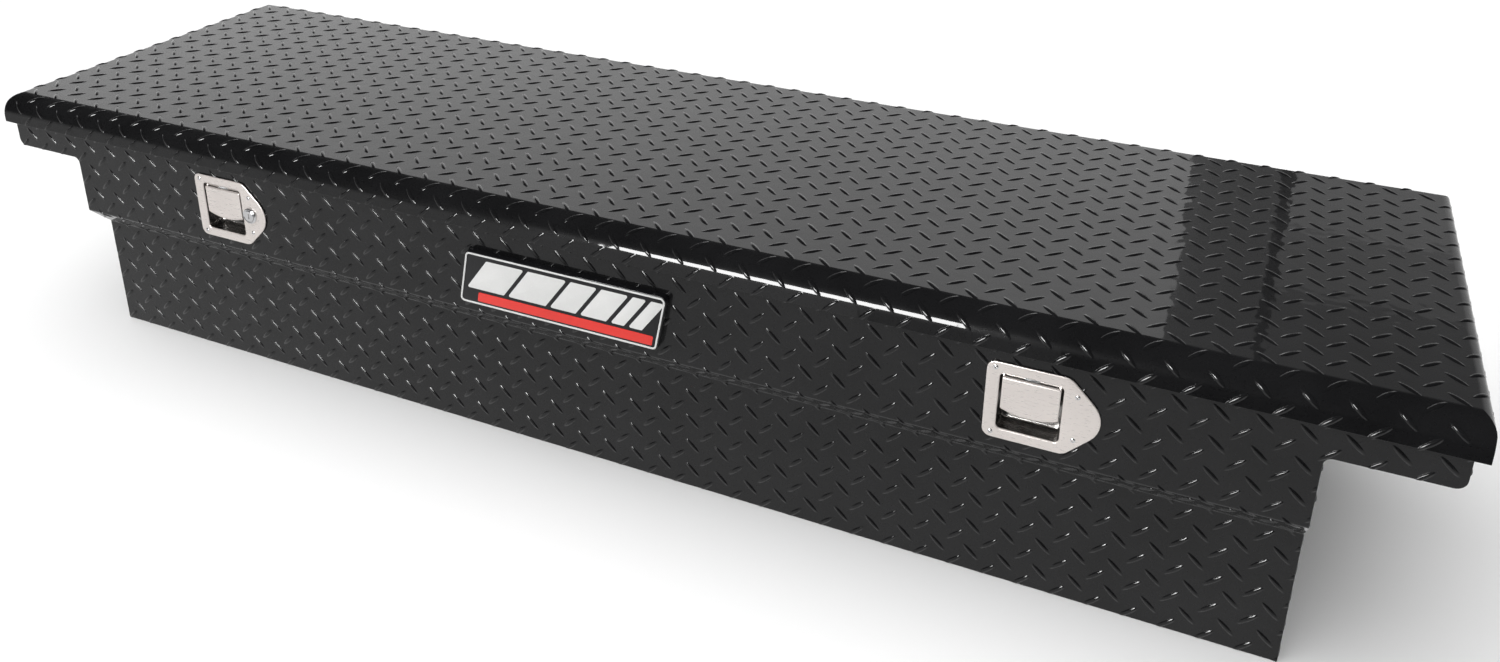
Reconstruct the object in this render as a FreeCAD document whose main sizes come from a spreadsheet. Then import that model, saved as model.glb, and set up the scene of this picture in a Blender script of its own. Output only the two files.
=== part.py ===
import FreeCAD, Part
import math
import os

import Sketcher

# Truck tool box: a low tread-plate crossover box with one lid, two paddle latches and two gas struts.
# Frame: +X along the box, -Y to its front, +Z up. The origin is under the middle of the box's base.
# Lengths are millimetres and angles are degrees. Names ending in _y or _z are positions in that frame.

DIMENSIONS = {
    # whole box
    "overall_height": 330,
    "sheet_gauge": 2,
    # lid
    "lid_length": 1772,
    "lid_front_y": -243.5,
    "lid_back_y": 246.5,
    "lid_skirt_height": 35.5,
    "roll_radius": 28,
    "bend_radius": 12,
    "pan_floor_z": 308,
    "pan_gauge": 1.5,
    "pan_front_gap": 1.5,
    "foam_gap": 0.3,
    # tub
    "face_y": -237,
    "back_face_y": 236.5,
    "rim_top_z": 300,
    "rim_width": 28,
    "wing_span": 1750,
    "wing_floor_z": 260,
    "wing_corner_radius": 10,
    "notch_radius": 8,
    "tub_length": 1530,
    "crease_z": 183,
    "waist_inset": 29,
    "bolt_hole_x": 820,
    "bolt_hole_y": 150,
    "bolt_hole_radius": 5,
    # seal
    "seal_inset": 4,
    "seal_width": 10,
    "seal_height": 7.7,
    "seal_corner": 12,
    "seal_round": 3,
    # lid hinge
    "hinge_y": 240.5,
    "hinge_z": 286,
    "hinge_length": 1700,
    "hinge_barrel_radius": 4,
    "hinge_pin_radius": 1.6,
    "hinge_bore_radius": 1.65,
    "hinge_leaf_gauge": 1.5,
    "hinge_leaf_height": 28,
    "knuckle_pitch": 100,
    "knuckle_gap": 0.5,
    "knuckle_notch": 4.6,
    "hinge_rivet_pitch": 100,
    "hinge_rivet_radius": 1.6,
    "hinge_rivet_head": 3.2,
    "hinge_rivet_z": 268,
    # gas struts
    "strut_x": 738,
    "strut_reach": 224,
    "strut_foot_angle": 9.2,
    "strut_head_angle": 1.8,
    "strut_tube_radius": 9,
    "strut_bore_radius": 7.6,
    "strut_tube_start": 14,
    "strut_tube_end_wall": 2.5,
    "strut_tube_length": 185,
    "strut_rod_radius": 4,
    "strut_gland_radius": 4.3,
    "strut_gland_length": 8,
    "strut_piston_radius": 7.2,
    "strut_piston_length": 10,
    "strut_piston_start": 24,
    "strut_eye_radius": 8,
    "strut_eye_width": 10,
    "strut_eye_bore": 4.05,
    "stud_radius": 4,
    "stud_shoulder_radius": 6.5,
    "stud_tip_x": 730,
    "stud_shoulder_x": 744,
    "stud_clip_x": 731,
    "stud_clip_gauge": 1.2,
    "bracket_gauge": 3,
    "bracket_half": 18,
    "lid_bracket_x": 751,
    "lid_bracket_foot": 27,
    "lid_bracket_drop": 26,
    # paddle latches, measured from the middle of each latch window
    "latch_x": 509,
    "latch_z": 238,
    "flange_left": 43.5,
    "flange_shoulder": 36,
    "flange_half_height": 42.7,
    "flange_gauge": 1.5,
    "flange_corner": 9,
    "flange_shoulder_radius": 14,
    "flange_nose_radius": 28,
    "gasket_gauge": 1,
    "gasket_inset": 1.5,
    "dish_half_width": 30.5,
    "dish_half_height": 31.5,
    "dish_wall": 1.2,
    "dish_back_y": -217,
    "dish_corner": 4,
    "dish_clearance": 0.8,
    "rivet_shank_radius": 1.5,
    "rivet_hole_radius": 1.6,
    "rivet_head_radius": 2.6,
    "rivet_head_height": 0.8,
    "rivet_tip_y": -233,
    "rivet_left_x": 35,
    "rivet_left_z": 36.5,
    "rivet_right_x": 43.7,
    "rivet_right_z": 24,
    # paddle
    "paddle_half_width": 28.8,
    "paddle_top": 27,
    "paddle_bottom": 15.5,
    "paddle_front_y": -238.9,
    "paddle_gauge": 1.8,
    "paddle_axis_y": -232.9,
    "paddle_axis_rise": 27.5,
    "paddle_ear_radius": 3.2,
    "paddle_web_depth": 9.6,
    "paddle_web_top": 0.8,
    "paddle_lip_depth": 10,
    "paddle_pin_radius": 1.5,
    "paddle_bore_radius": 1.55,
    "coil_radius": 2.75,
    "coil_wire_radius": 0.45,
    "coil_pitch": 1.4,
    "coil_length": 14,
    # latch frame and hook behind each dish
    "frame_half_width": 16,
    "frame_gauge": 2,
    "frame_plate_top_z": 258,
    "frame_plate_floor_z": 214,
    "cheek_inner": 6,
    "cheek_back_y": -174,
    "cheek_floor_z": 233,
    "cheek_top_z": 292,
    "slot_floor_z": 267,
    "slot_half_width": 4.8,
    "hook_y": -200,
    "hook_z": 252,
    "hook_half_width": 5,
    "hook_release_angle": 28,
    "hook_pin_radius": 3,
    "hook_bore_radius": 3.05,
    "hook_pin_head": 4.5,
    "hook_arm_back": 4.5,
    "hook_arm_front": 6,
    "hook_lip_reach": 16,
    "hook_lip_floor": 26.5,
    "hook_lip_edge": 1.5,
    "hook_lip_top": 32,
    "hook_tail": 12,
    # striker on the lid
    "striker_y": -188,
    "striker_z": 272,
    "striker_bar_radius": 4,
    "striker_half_width": 23,
    "striker_bend": 8,
    "striker_plate_half_length": 40,
    "striker_plate_half_width": 13,
    "striker_plate_gauge": 2.5,
    "striker_screw_x": 33,
    "striker_screw_radius": 2.5,
    "striker_screw_hole": 2.7,
    "striker_screw_head": 4.5,
    "striker_screw_head_height": 3,
    # lock cylinder beside the left latch window
    "lock_offset": 43.2,
    "lock_face_radius": 10.4,
    "lock_face_height": 2.5,
    "lock_body_radius": 9.4,
    "lock_body_end_y": -219,
    "lock_hole_radius": 9.6,
    "lock_plug_radius": 7,
    "lock_plug_bore": 7.1,
    "lock_plug_proud": 0.3,
    "lock_plug_end_y": -214,
    "keyway_width": 1.4,
    "keyway_height": 7,
    "keyway_depth": 8,
    "lock_clip_gauge": 1.5,
    "lock_clip_half": 11,
    "cam_gauge": 2,
    "cam_half_width": 5,
    "cam_length": 22,
    # badge on the front face
    "badge_middle_x": -12.5,
    "badge_floor_z": 198,
    "badge_height": 69,
    "badge_half_length": 131,
    "badge_slant": 14,
    "badge_corner": 7,
    "badge_body_depth": 8.5,
    "badge_face_gauge": 1,
    "badge_face_inset": 0.6,
}

# Centre of a sheet fold's inside corner: how far it shifts, as a share of the sheet's gauge, at 45 degrees.
FOLD_SHARE = math.tan(math.radians(22.5))

doc = FreeCAD.newDocument("truck_tool_box")
sub_parts = []


# ---------------------------------------------------------------- sizes and the sheet


class Size:
    """A number together with the sheet expression that gives it."""

    def __init__(self, value, text):
        self.value = value
        self.text = text

    def _with(self, other, sign, result):
        return Size(result, "(" + self.text + " " + sign + " " + as_size(other).text + ")")

    def __add__(self, other):
        return self._with(other, "+", self.value + as_size(other).value)

    def __sub__(self, other):
        return self._with(other, "-", self.value - as_size(other).value)

    def __mul__(self, other):
        return self._with(other, "*", self.value * as_size(other).value)

    def __truediv__(self, other):
        return self._with(other, "/", self.value / as_size(other).value)

    def __neg__(self):
        return self * -1


def as_size(number):
    """Wraps a plain number, so that it can stand in an expression."""
    if isinstance(number, Size):
        return number
    return Size(float(number), "(" + repr(float(number)) + ")")


def sine(angle):
    """Sine of an angle in degrees."""
    return Size(math.sin(math.radians(angle.value)), "sin(" + angle.text + ")")


def cosine(angle):
    """Cosine of an angle in degrees."""
    return Size(math.cos(math.radians(angle.value)), "cos(" + angle.text + ")")


class Sheet:
    """The document's spreadsheet: one plain number a row, each with an alias."""

    def __init__(self, numbers):
        self.cells = doc.addObject("Spreadsheet::Sheet", "dims")
        for row, (alias, number) in enumerate(numbers.items(), start=1):
            self.cells.set("A%d" % row, alias.replace("_", " "))
            self.cells.set("B%d" % row, str(number))
            self.cells.setAlias("B%d" % row, alias)
        doc.recompute()

    def __getattr__(self, alias):
        return Size(float(DIMENSIONS[alias]), "dims." + alias)


dims = Sheet(DIMENSIONS)


# ---------------------------------------------------------------- small building helpers


def bind(thing, name, size):
    """Ties one property of a document object to the sheet."""
    thing.setExpression(name, as_size(size).text)


def put(thing, x, y, z):
    """Ties an object's position to the sheet."""
    bind(thing, "Placement.Base.x", x)
    bind(thing, "Placement.Base.y", y)
    bind(thing, "Placement.Base.z", z)


def sub_part(thing, name):
    """Marks a finished object as one sub-part of the box."""
    thing.Label = name
    sub_parts.append(thing)
    return thing


def block(name, x, y, z):
    """A box between two corners; x, y and z are (low, high) pairs."""
    box = doc.addObject("Part::Box", name)
    for side, (low, high) in zip(("Length", "Width", "Height"), (x, y, z)):
        bind(box, side, as_size(high) - low)
    put(box, x[0], y[0], z[0])
    return box


def bar(name, axis, first, second, radius, span):
    """A round bar along X, Y or Z. first and second place its axis on the other two, in X, Y, Z order."""
    cylinder = doc.addObject("Part::Cylinder", name)
    bind(cylinder, "Radius", radius)
    bind(cylinder, "Height", as_size(span[1]) - span[0])
    turns = {
        "X": FreeCAD.Rotation(FreeCAD.Vector(0, 1, 0), 90),
        "Y": FreeCAD.Rotation(FreeCAD.Vector(1, 0, 0), -90),
        "Z": FreeCAD.Rotation(),
    }
    cylinder.Placement = FreeCAD.Placement(FreeCAD.Vector(), turns[axis])
    places = {
        "X": (span[0], first, second),
        "Y": (first, span[0], second),
        "Z": (first, second, span[0]),
    }
    put(cylinder, *places[axis])
    return cylinder


def join(name, pieces):
    """Fuses touching pieces into one solid."""
    fused = doc.addObject("Part::MultiFuse", name)
    fused.Shapes = pieces
    return fused


def group(name, pieces):
    """Keeps separate solids together in one object."""
    compound = doc.addObject("Part::Compound", name)
    compound.Links = pieces
    return compound


def cut(name, base, tools):
    """Takes the tools away from the base."""
    result = doc.addObject("Part::Cut", name)
    result.Base = base
    result.Tool = tools[0] if len(tools) == 1 else group(name + "_tools", tools)
    return result


def new_body(name):
    """A PartDesign body."""
    return doc.addObject("PartDesign::Body", name)


def sketch_on(body, role, offset, name):
    """A sketch on one of the body's own origin planes, moved along the plane's normal."""
    plane = next(item for item in body.Origin.OriginFeatures if item.Role == role)
    sketch = body.newObject("Sketcher::SketchObject", name)
    sketch.AttachmentSupport = (plane, "")
    sketch.MapMode = "FlatFace"
    bind(sketch, "AttachmentOffset.Base.z", offset)
    return sketch


def pin_point(sketch, geometry, vertex, point):
    """Ties one point of a sketch to its two coordinates."""
    for kind, number in zip(("DistanceX", "DistanceY"), point):
        size = as_size(number)
        index = sketch.addConstraint(Sketcher.Constraint(kind, -1, 1, geometry, vertex, size.value))
        bind(sketch, "Constraints[%d]" % index, size)


def outline(sketch, points):
    """A closed outline of straight lines through the points."""
    corners = [FreeCAD.Vector(as_size(u).value, as_size(v).value, 0) for u, v in points]
    first = sketch.GeometryCount
    count = len(points)
    for index in range(count):
        start = corners[index]
        end = corners[(index + 1) % count]
        sketch.addGeometry(Part.LineSegment(start, end), False)
    for index in range(count):
        following = first + (index + 1) % count
        sketch.addConstraint(Sketcher.Constraint("Coincident", first + index, 2, following, 1))
    for index, point in enumerate(points):
        pin_point(sketch, first + index, 1, point)


def rectangle(sketch, u, v):
    """A closed rectangle; u and v are (low, high) pairs."""
    outline(sketch, [(u[0], v[0]), (u[1], v[0]), (u[1], v[1]), (u[0], v[1])])


def circle(sketch, centre, radius):
    """A circle placed by its centre."""
    middle = FreeCAD.Vector(as_size(centre[0]).value, as_size(centre[1]).value, 0)
    size = as_size(radius)
    geometry = sketch.addGeometry(Part.Circle(middle, FreeCAD.Vector(0, 0, 1), size.value), False)
    pin_point(sketch, geometry, 3, centre)
    index = sketch.addConstraint(Sketcher.Constraint("Radius", geometry, size.value))
    bind(sketch, "Constraints[%d]" % index, size)


def pad(body, sketch, length):
    """Adds the sketch's area to the body, along the sketch's normal."""
    feature = body.newObject("PartDesign::Pad", sketch.Name + "_pad")
    feature.Profile = sketch
    bind(feature, "Length", length)
    return feature


def pocket(body, sketch, length):
    """Takes the sketch's area out of the body, as far each way as half the length."""
    feature = body.newObject("PartDesign::Pocket", sketch.Name + "_pocket")
    feature.Profile = sketch
    feature.SideType = "Symmetric"
    bind(feature, "Length", length)
    return feature


def round_edges(body, radius, chosen):
    """Rounds the edges of the body so far that the test picks out."""
    doc.recompute()
    tip = body.Tip
    names = ["Edge%d" % (number + 1) for number, edge in enumerate(tip.Shape.Edges) if chosen(edge)]
    fillet = body.newObject("PartDesign::Fillet", body.Name + "_round")
    fillet.Base = (tip, names)
    bind(fillet, "Radius", radius)
    return fillet


def edge_runs(edge, axis):
    """Whether a straight edge runs along the axis."""
    if edge.Curve.TypeId != "Part::GeomLine":
        return False
    run = edge.Vertexes[-1].Point - edge.Vertexes[0].Point
    return abs(abs(run.normalize().dot(axis)) - 1) < 1e-6


X_AXIS = FreeCAD.Vector(1, 0, 0)
Y_AXIS = FreeCAD.Vector(0, 1, 0)
Z_AXIS = FreeCAD.Vector(0, 0, 1)


def edge_at(edge, axis, places):
    """Whether an edge along the axis passes through one of the places, given on the other two axes."""
    if not edge_runs(edge, axis):
        return False
    point = edge.Vertexes[0].Point
    across = {"X": (point.y, point.z), "Y": (point.x, point.z), "Z": (point.x, point.y)}
    letter = "XYZ"[[X_AXIS, Y_AXIS, Z_AXIS].index(axis)]
    return any(math.dist(across[letter], [as_size(part).value for part in place]) < 0.01 for place in places)


def numbers(points):
    """Plain (u, v) numbers of a list of points."""
    return [(as_size(u).value, as_size(v).value) for u, v in points]


# ---------------------------------------------------------------- shared positions

HALF_LID = dims.lid_length / 2
HALF_TUB = dims.tub_length / 2
HALF_WINGS = dims.wing_span / 2
GAUGE = dims.sheet_gauge
INNER_FACE_Y = dims.face_y + GAUGE
INNER_BACK_Y = dims.back_face_y - GAUGE
WAIST_Y = dims.face_y + dims.waist_inset
WAIST_Z = dims.crease_z - dims.waist_inset
SKIRT_EDGE_Z = dims.overall_height - dims.lid_skirt_height
PAN_TOP_Z = dims.pan_floor_z + dims.pan_gauge
WING_CORNERS = [(HALF_WINGS, dims.wing_floor_z), (-HALF_WINGS, dims.wing_floor_z)]
NOTCH_CORNERS = [(HALF_TUB, dims.wing_floor_z), (-HALF_TUB, dims.wing_floor_z)]
LONG_CUT = dims.lid_length * 2
PADDLE_AXIS_Z = dims.latch_z + dims.paddle_axis_rise
GASKET_FRONT_Y = dims.face_y - dims.gasket_gauge
FLANGE_FRONT_Y = GASKET_FRONT_Y - dims.flange_gauge
STRUT_TILT = as_size(45) - (dims.strut_foot_angle + dims.strut_head_angle) / 2
STRUT_HALF_SPREAD = (as_size(90) - dims.strut_foot_angle + dims.strut_head_angle) / 2
STRUT_CLOSED = dims.strut_reach * sine(STRUT_HALF_SPREAD) * 2
STRUT_FOOT_Y = dims.hinge_y - dims.strut_reach * sine(dims.strut_foot_angle)
STRUT_FOOT_Z = dims.hinge_z - dims.strut_reach * cosine(dims.strut_foot_angle)
STRUT_HEAD_Y = dims.hinge_y - dims.strut_reach * cosine(dims.strut_head_angle)
STRUT_HEAD_Z = dims.hinge_z + dims.strut_reach * sine(dims.strut_head_angle)
SIDES = {"left": -1, "right": 1}


def latch_x(side):
    """Middle of a latch window."""
    return dims.latch_x * SIDES[side]


def across(side, low, high):
    """An (x, x) pair in rising order, mirrored for the left side."""
    if SIDES[side] > 0:
        return (as_size(low), as_size(high))
    return (-as_size(high), -as_size(low))


# ---------------------------------------------------------------- tub panels


def rivet_places(side):
    """Where the four rivets of a latch flange go, as (x, z)."""
    middle = latch_x(side)
    left = middle - dims.rivet_left_x
    right = middle + dims.rivet_right_x
    return [
        (left, dims.latch_z + dims.rivet_left_z),
        (left, dims.latch_z - dims.rivet_left_z),
        (right, dims.latch_z + dims.rivet_right_z),
        (right, dims.latch_z - dims.rivet_right_z),
    ]


def lock_centre():
    """The lock's axis, as (x, z)."""
    return (latch_x("left") + dims.lock_offset, dims.latch_z)


def cut_latch_openings(sketch):
    """Draws a window and rivet holes for each latch, and the hole for the lock."""
    reach = dims.dish_wall + dims.dish_clearance
    for side in SIDES:
        middle = latch_x(side)
        half_width = dims.dish_half_width + reach
        half_height = dims.dish_half_height + reach
        rectangle(
            sketch,
            (middle - half_width, middle + half_width),
            (dims.latch_z - half_height, dims.latch_z + half_height),
        )
        for place in rivet_places(side):
            circle(sketch, place, dims.rivet_hole_radius)
    circle(sketch, lock_centre(), dims.lock_hole_radius)


def front_panel():
    """The folded front wall: upright above the crease, then back at 45 degrees, then upright again."""
    body = new_body("front_panel")
    fold = GAUGE * FOLD_SHARE
    profile = sketch_on(body, "YZ_Plane", -HALF_WINGS, "front_profile")
    outline(profile, [
        (dims.face_y, dims.rim_top_z),
        (dims.face_y, dims.crease_z),
        (WAIST_Y, WAIST_Z),
        (WAIST_Y, 0),
        (WAIST_Y + GAUGE, 0),
        (WAIST_Y + GAUGE, WAIST_Z + fold),
        (INNER_FACE_Y, dims.crease_z + fold),
        (INNER_FACE_Y, dims.rim_top_z),
    ])
    pad(body, profile, dims.wing_span)
    cutouts = sketch_on(body, "XZ_Plane", 0, "front_cutouts")
    rectangle(cutouts, (-HALF_LID, -HALF_TUB), (-GAUGE, dims.wing_floor_z))
    rectangle(cutouts, (HALF_TUB, HALF_LID), (-GAUGE, dims.wing_floor_z))
    cut_latch_openings(cutouts)
    pocket(body, cutouts, LONG_CUT)
    round_edges(body, dims.wing_corner_radius, lambda edge: edge_at(edge, Y_AXIS, WING_CORNERS))
    round_edges(body, dims.notch_radius, lambda edge: edge_at(edge, Y_AXIS, NOTCH_CORNERS))
    return sub_part(body, "front_panel")


def hinge_rivet_offsets():
    """Where the hinge rivets stand along X."""
    count = int(dims.hinge_length.value / dims.hinge_rivet_pitch.value)
    return [dims.hinge_rivet_pitch * (number - (count - 1) / 2) for number in range(count)]


def back_panel():
    """The upright back wall, with the wings' outline and the hinge's rivet holes."""
    body = new_body("back_panel")
    wall = sketch_on(body, "XZ_Plane", -dims.back_face_y, "back_outline")
    outline(wall, [
        (-HALF_WINGS, dims.rim_top_z),
        (-HALF_WINGS, dims.wing_floor_z),
        (-HALF_TUB, dims.wing_floor_z),
        (-HALF_TUB, 0),
        (HALF_TUB, 0),
        (HALF_TUB, dims.wing_floor_z),
        (HALF_WINGS, dims.wing_floor_z),
        (HALF_WINGS, dims.rim_top_z),
    ])
    pad(body, wall, GAUGE)
    holes = sketch_on(body, "XZ_Plane", 0, "back_holes")
    for offset in hinge_rivet_offsets():
        circle(holes, (offset, dims.hinge_rivet_z), dims.hinge_rivet_radius)
    pocket(body, holes, LONG_CUT)
    round_edges(body, dims.wing_corner_radius, lambda edge: edge_at(edge, Y_AXIS, WING_CORNERS))
    round_edges(body, dims.notch_radius, lambda edge: edge_at(edge, Y_AXIS, NOTCH_CORNERS))
    return sub_part(body, "back_panel")


def end_panel(side):
    """One folded end: the tub's wall, the wing's shelf over the bed rail, and the wing's upright end."""
    body = new_body("end_panel_" + side)
    sign = SIDES[side]
    profile = sketch_on(body, "XZ_Plane", -INNER_BACK_Y, "end_profile_" + side)
    outline(profile, [
        (HALF_TUB * sign, 0),
        (HALF_TUB * sign, dims.wing_floor_z),
        (HALF_WINGS * sign, dims.wing_floor_z),
        (HALF_WINGS * sign, dims.rim_top_z),
        ((HALF_WINGS - GAUGE) * sign, dims.rim_top_z),
        ((HALF_WINGS - GAUGE) * sign, dims.wing_floor_z + GAUGE),
        ((HALF_TUB - GAUGE) * sign, dims.wing_floor_z + GAUGE),
        ((HALF_TUB - GAUGE) * sign, 0),
    ])
    pad(body, profile, INNER_BACK_Y - INNER_FACE_Y)
    fold = GAUGE * FOLD_SHARE
    front = sketch_on(body, "YZ_Plane", 0, "end_front_" + side)
    outline(front, [
        (dims.lid_front_y, dims.crease_z + fold),
        (INNER_FACE_Y, dims.crease_z + fold),
        (WAIST_Y + GAUGE, WAIST_Z + fold),
        (WAIST_Y + GAUGE, -GAUGE),
        (dims.lid_front_y, -GAUGE),
    ])
    pocket(body, front, LONG_CUT)
    holes = sketch_on(body, "XY_Plane", 0, "end_holes_" + side)
    for place in (-dims.bolt_hole_y, dims.bolt_hole_y):
        circle(holes, (dims.bolt_hole_x * sign, place), dims.bolt_hole_radius)
    pocket(body, holes, LONG_CUT)
    inside_z = dims.wing_floor_z + GAUGE
    folds = [
        (dims.wing_corner_radius, (HALF_WINGS * sign, dims.wing_floor_z)),
        (dims.wing_corner_radius - GAUGE, ((HALF_WINGS - GAUGE) * sign, inside_z)),
        (dims.notch_radius, (HALF_TUB * sign, dims.wing_floor_z)),
        (dims.notch_radius + GAUGE, ((HALF_TUB - GAUGE) * sign, inside_z)),
    ]
    for radius, corner in folds:
        round_edges(body, radius, lambda edge: edge_at(edge, Y_AXIS, [corner]))
    return sub_part(body, "end_panel_" + side)


def floor_panel():
    """The tub's flat floor between the four walls."""
    inner = HALF_TUB - GAUGE
    floor = block("floor_panel", (-inner, inner), (WAIST_Y + GAUGE, INNER_BACK_Y), (0, GAUGE))
    return sub_part(floor, "floor_panel")


def rim_frame():
    """The flat rim around the opening, welded inside the four walls."""
    outer_x = HALF_WINGS - GAUGE
    inner_x = outer_x - dims.rim_width
    height = (dims.rim_top_z - GAUGE, dims.rim_top_z)
    body = new_body("rim_frame")
    ring = sketch_on(body, "XY_Plane", height[0], "rim_ring")
    rectangle(ring, (-outer_x, outer_x), (INNER_FACE_Y, INNER_BACK_Y))
    opening_y = (INNER_FACE_Y + dims.rim_width, INNER_BACK_Y - dims.rim_width)
    rectangle(ring, (-inner_x, inner_x), opening_y)
    pad(body, ring, GAUGE)
    return sub_part(body, "rim_frame")


def weather_seal():
    """The soft bulb seal that runs around the rim under the lid."""
    body = new_body("weather_seal")
    outer_x = HALF_WINGS - GAUGE - dims.seal_inset
    outer_y = (INNER_FACE_Y + dims.seal_inset, INNER_BACK_Y - dims.seal_inset)
    inner_x = outer_x - dims.seal_width
    inner_y = (outer_y[0] + dims.seal_width, outer_y[1] - dims.seal_width)
    ring = sketch_on(body, "XY_Plane", dims.rim_top_z, "seal_ring")
    rectangle(ring, (-outer_x, outer_x), outer_y)
    rectangle(ring, (-inner_x, inner_x), inner_y)
    pad(body, ring, dims.seal_height)
    outside = numbers([(x, y) for x in (-outer_x, outer_x) for y in outer_y])
    round_edges(body, dims.seal_corner, lambda edge: edge_at(edge, Z_AXIS, outside))
    top = (dims.rim_top_z + dims.seal_height).value
    round_edges(body, dims.seal_round, lambda edge: all(abs(v.Z - top) < 0.01 for v in edge.Vertexes))
    return sub_part(body, "weather_seal")


# ---------------------------------------------------------------- lid hinge


def hinge_leaf(name, leaf_y, leaf_z, first_slot):
    """One leaf of the piano hinge: a strip with every other knuckle. The first slot is in knuckle pitches."""
    body = new_body(name)
    half = dims.hinge_length / 2
    strip = sketch_on(body, "YZ_Plane", -half, name + "_strip")
    rectangle(strip, leaf_y, leaf_z)
    pad(body, strip, dims.hinge_length)
    barrel = sketch_on(body, "YZ_Plane", -half, name + "_barrel")
    circle(barrel, (dims.hinge_y, dims.hinge_z), dims.hinge_barrel_radius)
    pad(body, barrel, dims.hinge_length)
    bore = sketch_on(body, "YZ_Plane", 0, name + "_bore")
    circle(bore, (dims.hinge_y, dims.hinge_z), dims.hinge_bore_radius)
    pocket(body, bore, LONG_CUT)
    slots = sketch_on(body, "XZ_Plane", 0, name + "_slots")
    width = dims.knuckle_pitch / 2 + dims.knuckle_gap
    count = int(dims.hinge_length.value / dims.knuckle_pitch.value)
    notch = (dims.hinge_z - dims.knuckle_notch, dims.hinge_z + dims.knuckle_notch)
    for number in range(count):
        middle = dims.knuckle_pitch * (number + first_slot) - half
        rectangle(slots, (middle - width / 2, middle + width / 2), notch)
    pocket(body, slots, LONG_CUT)
    return body


def hinge_leaf_tub():
    """The leaf on the back wall's outside."""
    leaf_y = (dims.back_face_y, dims.back_face_y + dims.hinge_leaf_gauge)
    leaf_z = (dims.hinge_z - dims.hinge_leaf_height, dims.hinge_z)
    body = hinge_leaf("hinge_leaf_tub", leaf_y, leaf_z, 0.25)
    holes = sketch_on(body, "XZ_Plane", 0, "leaf_holes")
    for offset in hinge_rivet_offsets():
        circle(holes, (offset, dims.hinge_rivet_z), dims.hinge_rivet_radius)
    pocket(body, holes, LONG_CUT)
    return sub_part(body, "hinge_leaf_tub")


def hinge_leaf_lid():
    """The leaf on the inside of the lid's back skirt."""
    skirt_y = dims.lid_back_y - GAUGE
    leaf_y = (skirt_y - dims.hinge_leaf_gauge, skirt_y)
    leaf_z = (dims.hinge_z, dims.hinge_z + dims.hinge_leaf_height)
    return sub_part(hinge_leaf("hinge_leaf_lid", leaf_y, leaf_z, 0.75), "hinge_leaf_lid")


def hinge_pin():
    """The long pin through both leaves."""
    half = dims.hinge_length / 2
    pin = bar("hinge_pin", "X", dims.hinge_y, dims.hinge_z, dims.hinge_pin_radius, (-half, half))
    return sub_part(pin, "hinge_pin")


def hinge_rivets():
    """The row of rivets that hold the hinge to the back wall."""
    leaf_back_y = dims.back_face_y + dims.hinge_leaf_gauge
    rivets = []
    for number, offset in enumerate(hinge_rivet_offsets()):
        name = "hinge_rivet_%d" % number
        head_span = (leaf_back_y, leaf_back_y + dims.rivet_head_height)
        shank_span = (INNER_BACK_Y, leaf_back_y)
        head = bar(name + "_head", "Y", offset, dims.hinge_rivet_z, dims.hinge_rivet_head, head_span)
        shank = bar(name + "_shank", "Y", offset, dims.hinge_rivet_z, dims.hinge_rivet_radius, shank_span)
        rivets.append(join(name, [head, shank]))
    return sub_part(group("hinge_rivets", rivets), "hinge_rivets")


# ---------------------------------------------------------------- gas struts


def strut_bracket_tub(side):
    """The plate on the tub's end wall that carries a strut's foot."""
    wall = HALF_TUB - GAUGE
    half = dims.bracket_half
    plate = block(
        "bracket_plate_" + side,
        across(side, wall - dims.bracket_gauge, wall),
        (STRUT_FOOT_Y - half, STRUT_FOOT_Y + half),
        (STRUT_FOOT_Z - half, STRUT_FOOT_Z + half),
    )
    return sub_part(plate, "strut_bracket_tub_" + side)


def strut_stud(name, side, base_x, y, z):
    """A stepped pivot stud that stands inward from a bracket."""
    shank = bar(name + "_shank", "X", y, z, dims.stud_radius, across(side, dims.stud_tip_x, base_x))
    shoulder_span = across(side, dims.stud_shoulder_x, base_x)
    shoulder = bar(name + "_shoulder", "X", y, z, dims.stud_shoulder_radius, shoulder_span)
    return sub_part(join(name, [shank, shoulder]), name)


def strut_clips(name, y, z):
    """The snap rings that keep the strut eyes on their studs, one on each side."""
    rings = []
    for side in SIDES:
        span = across(side, dims.stud_clip_x, dims.stud_clip_x + dims.stud_clip_gauge)
        disc = bar(name + "_disc_" + side, "X", y, z, dims.stud_shoulder_radius, span)
        hole = bar(name + "_hole_" + side, "X", y, z, dims.stud_radius, span)
        rings.append(cut(name + "_ring_" + side, disc, [hole]))
    return sub_part(group(name, rings), name)


def strut_bracket_lid(side):
    """The angle under the lid's pan that carries a strut's head."""
    half = dims.bracket_half
    low_x = dims.lid_bracket_x
    reach_y = (STRUT_HEAD_Y - half, STRUT_HEAD_Y + half)
    web = block(
        "lid_bracket_web_" + side,
        across(side, low_x, low_x + dims.bracket_gauge),
        reach_y,
        (dims.pan_floor_z - dims.lid_bracket_drop, dims.pan_floor_z),
    )
    foot = block(
        "lid_bracket_foot_" + side,
        across(side, low_x, low_x + dims.lid_bracket_foot),
        reach_y,
        (dims.pan_floor_z - dims.bracket_gauge, dims.pan_floor_z),
    )
    name = "strut_bracket_lid_" + side
    return sub_part(join(name, [web, foot]), name)


def stand_strut(piece, side, y, z):
    """Moves a strut piece from its own upright frame to its pivot, leaning towards the front."""
    piece.Placement = FreeCAD.Placement(FreeCAD.Vector(), FreeCAD.Rotation(X_AXIS, STRUT_TILT.value))
    bind(piece, "Placement.Rotation.Angle", STRUT_TILT)
    put(piece, dims.strut_x * SIDES[side], y, z)


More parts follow.
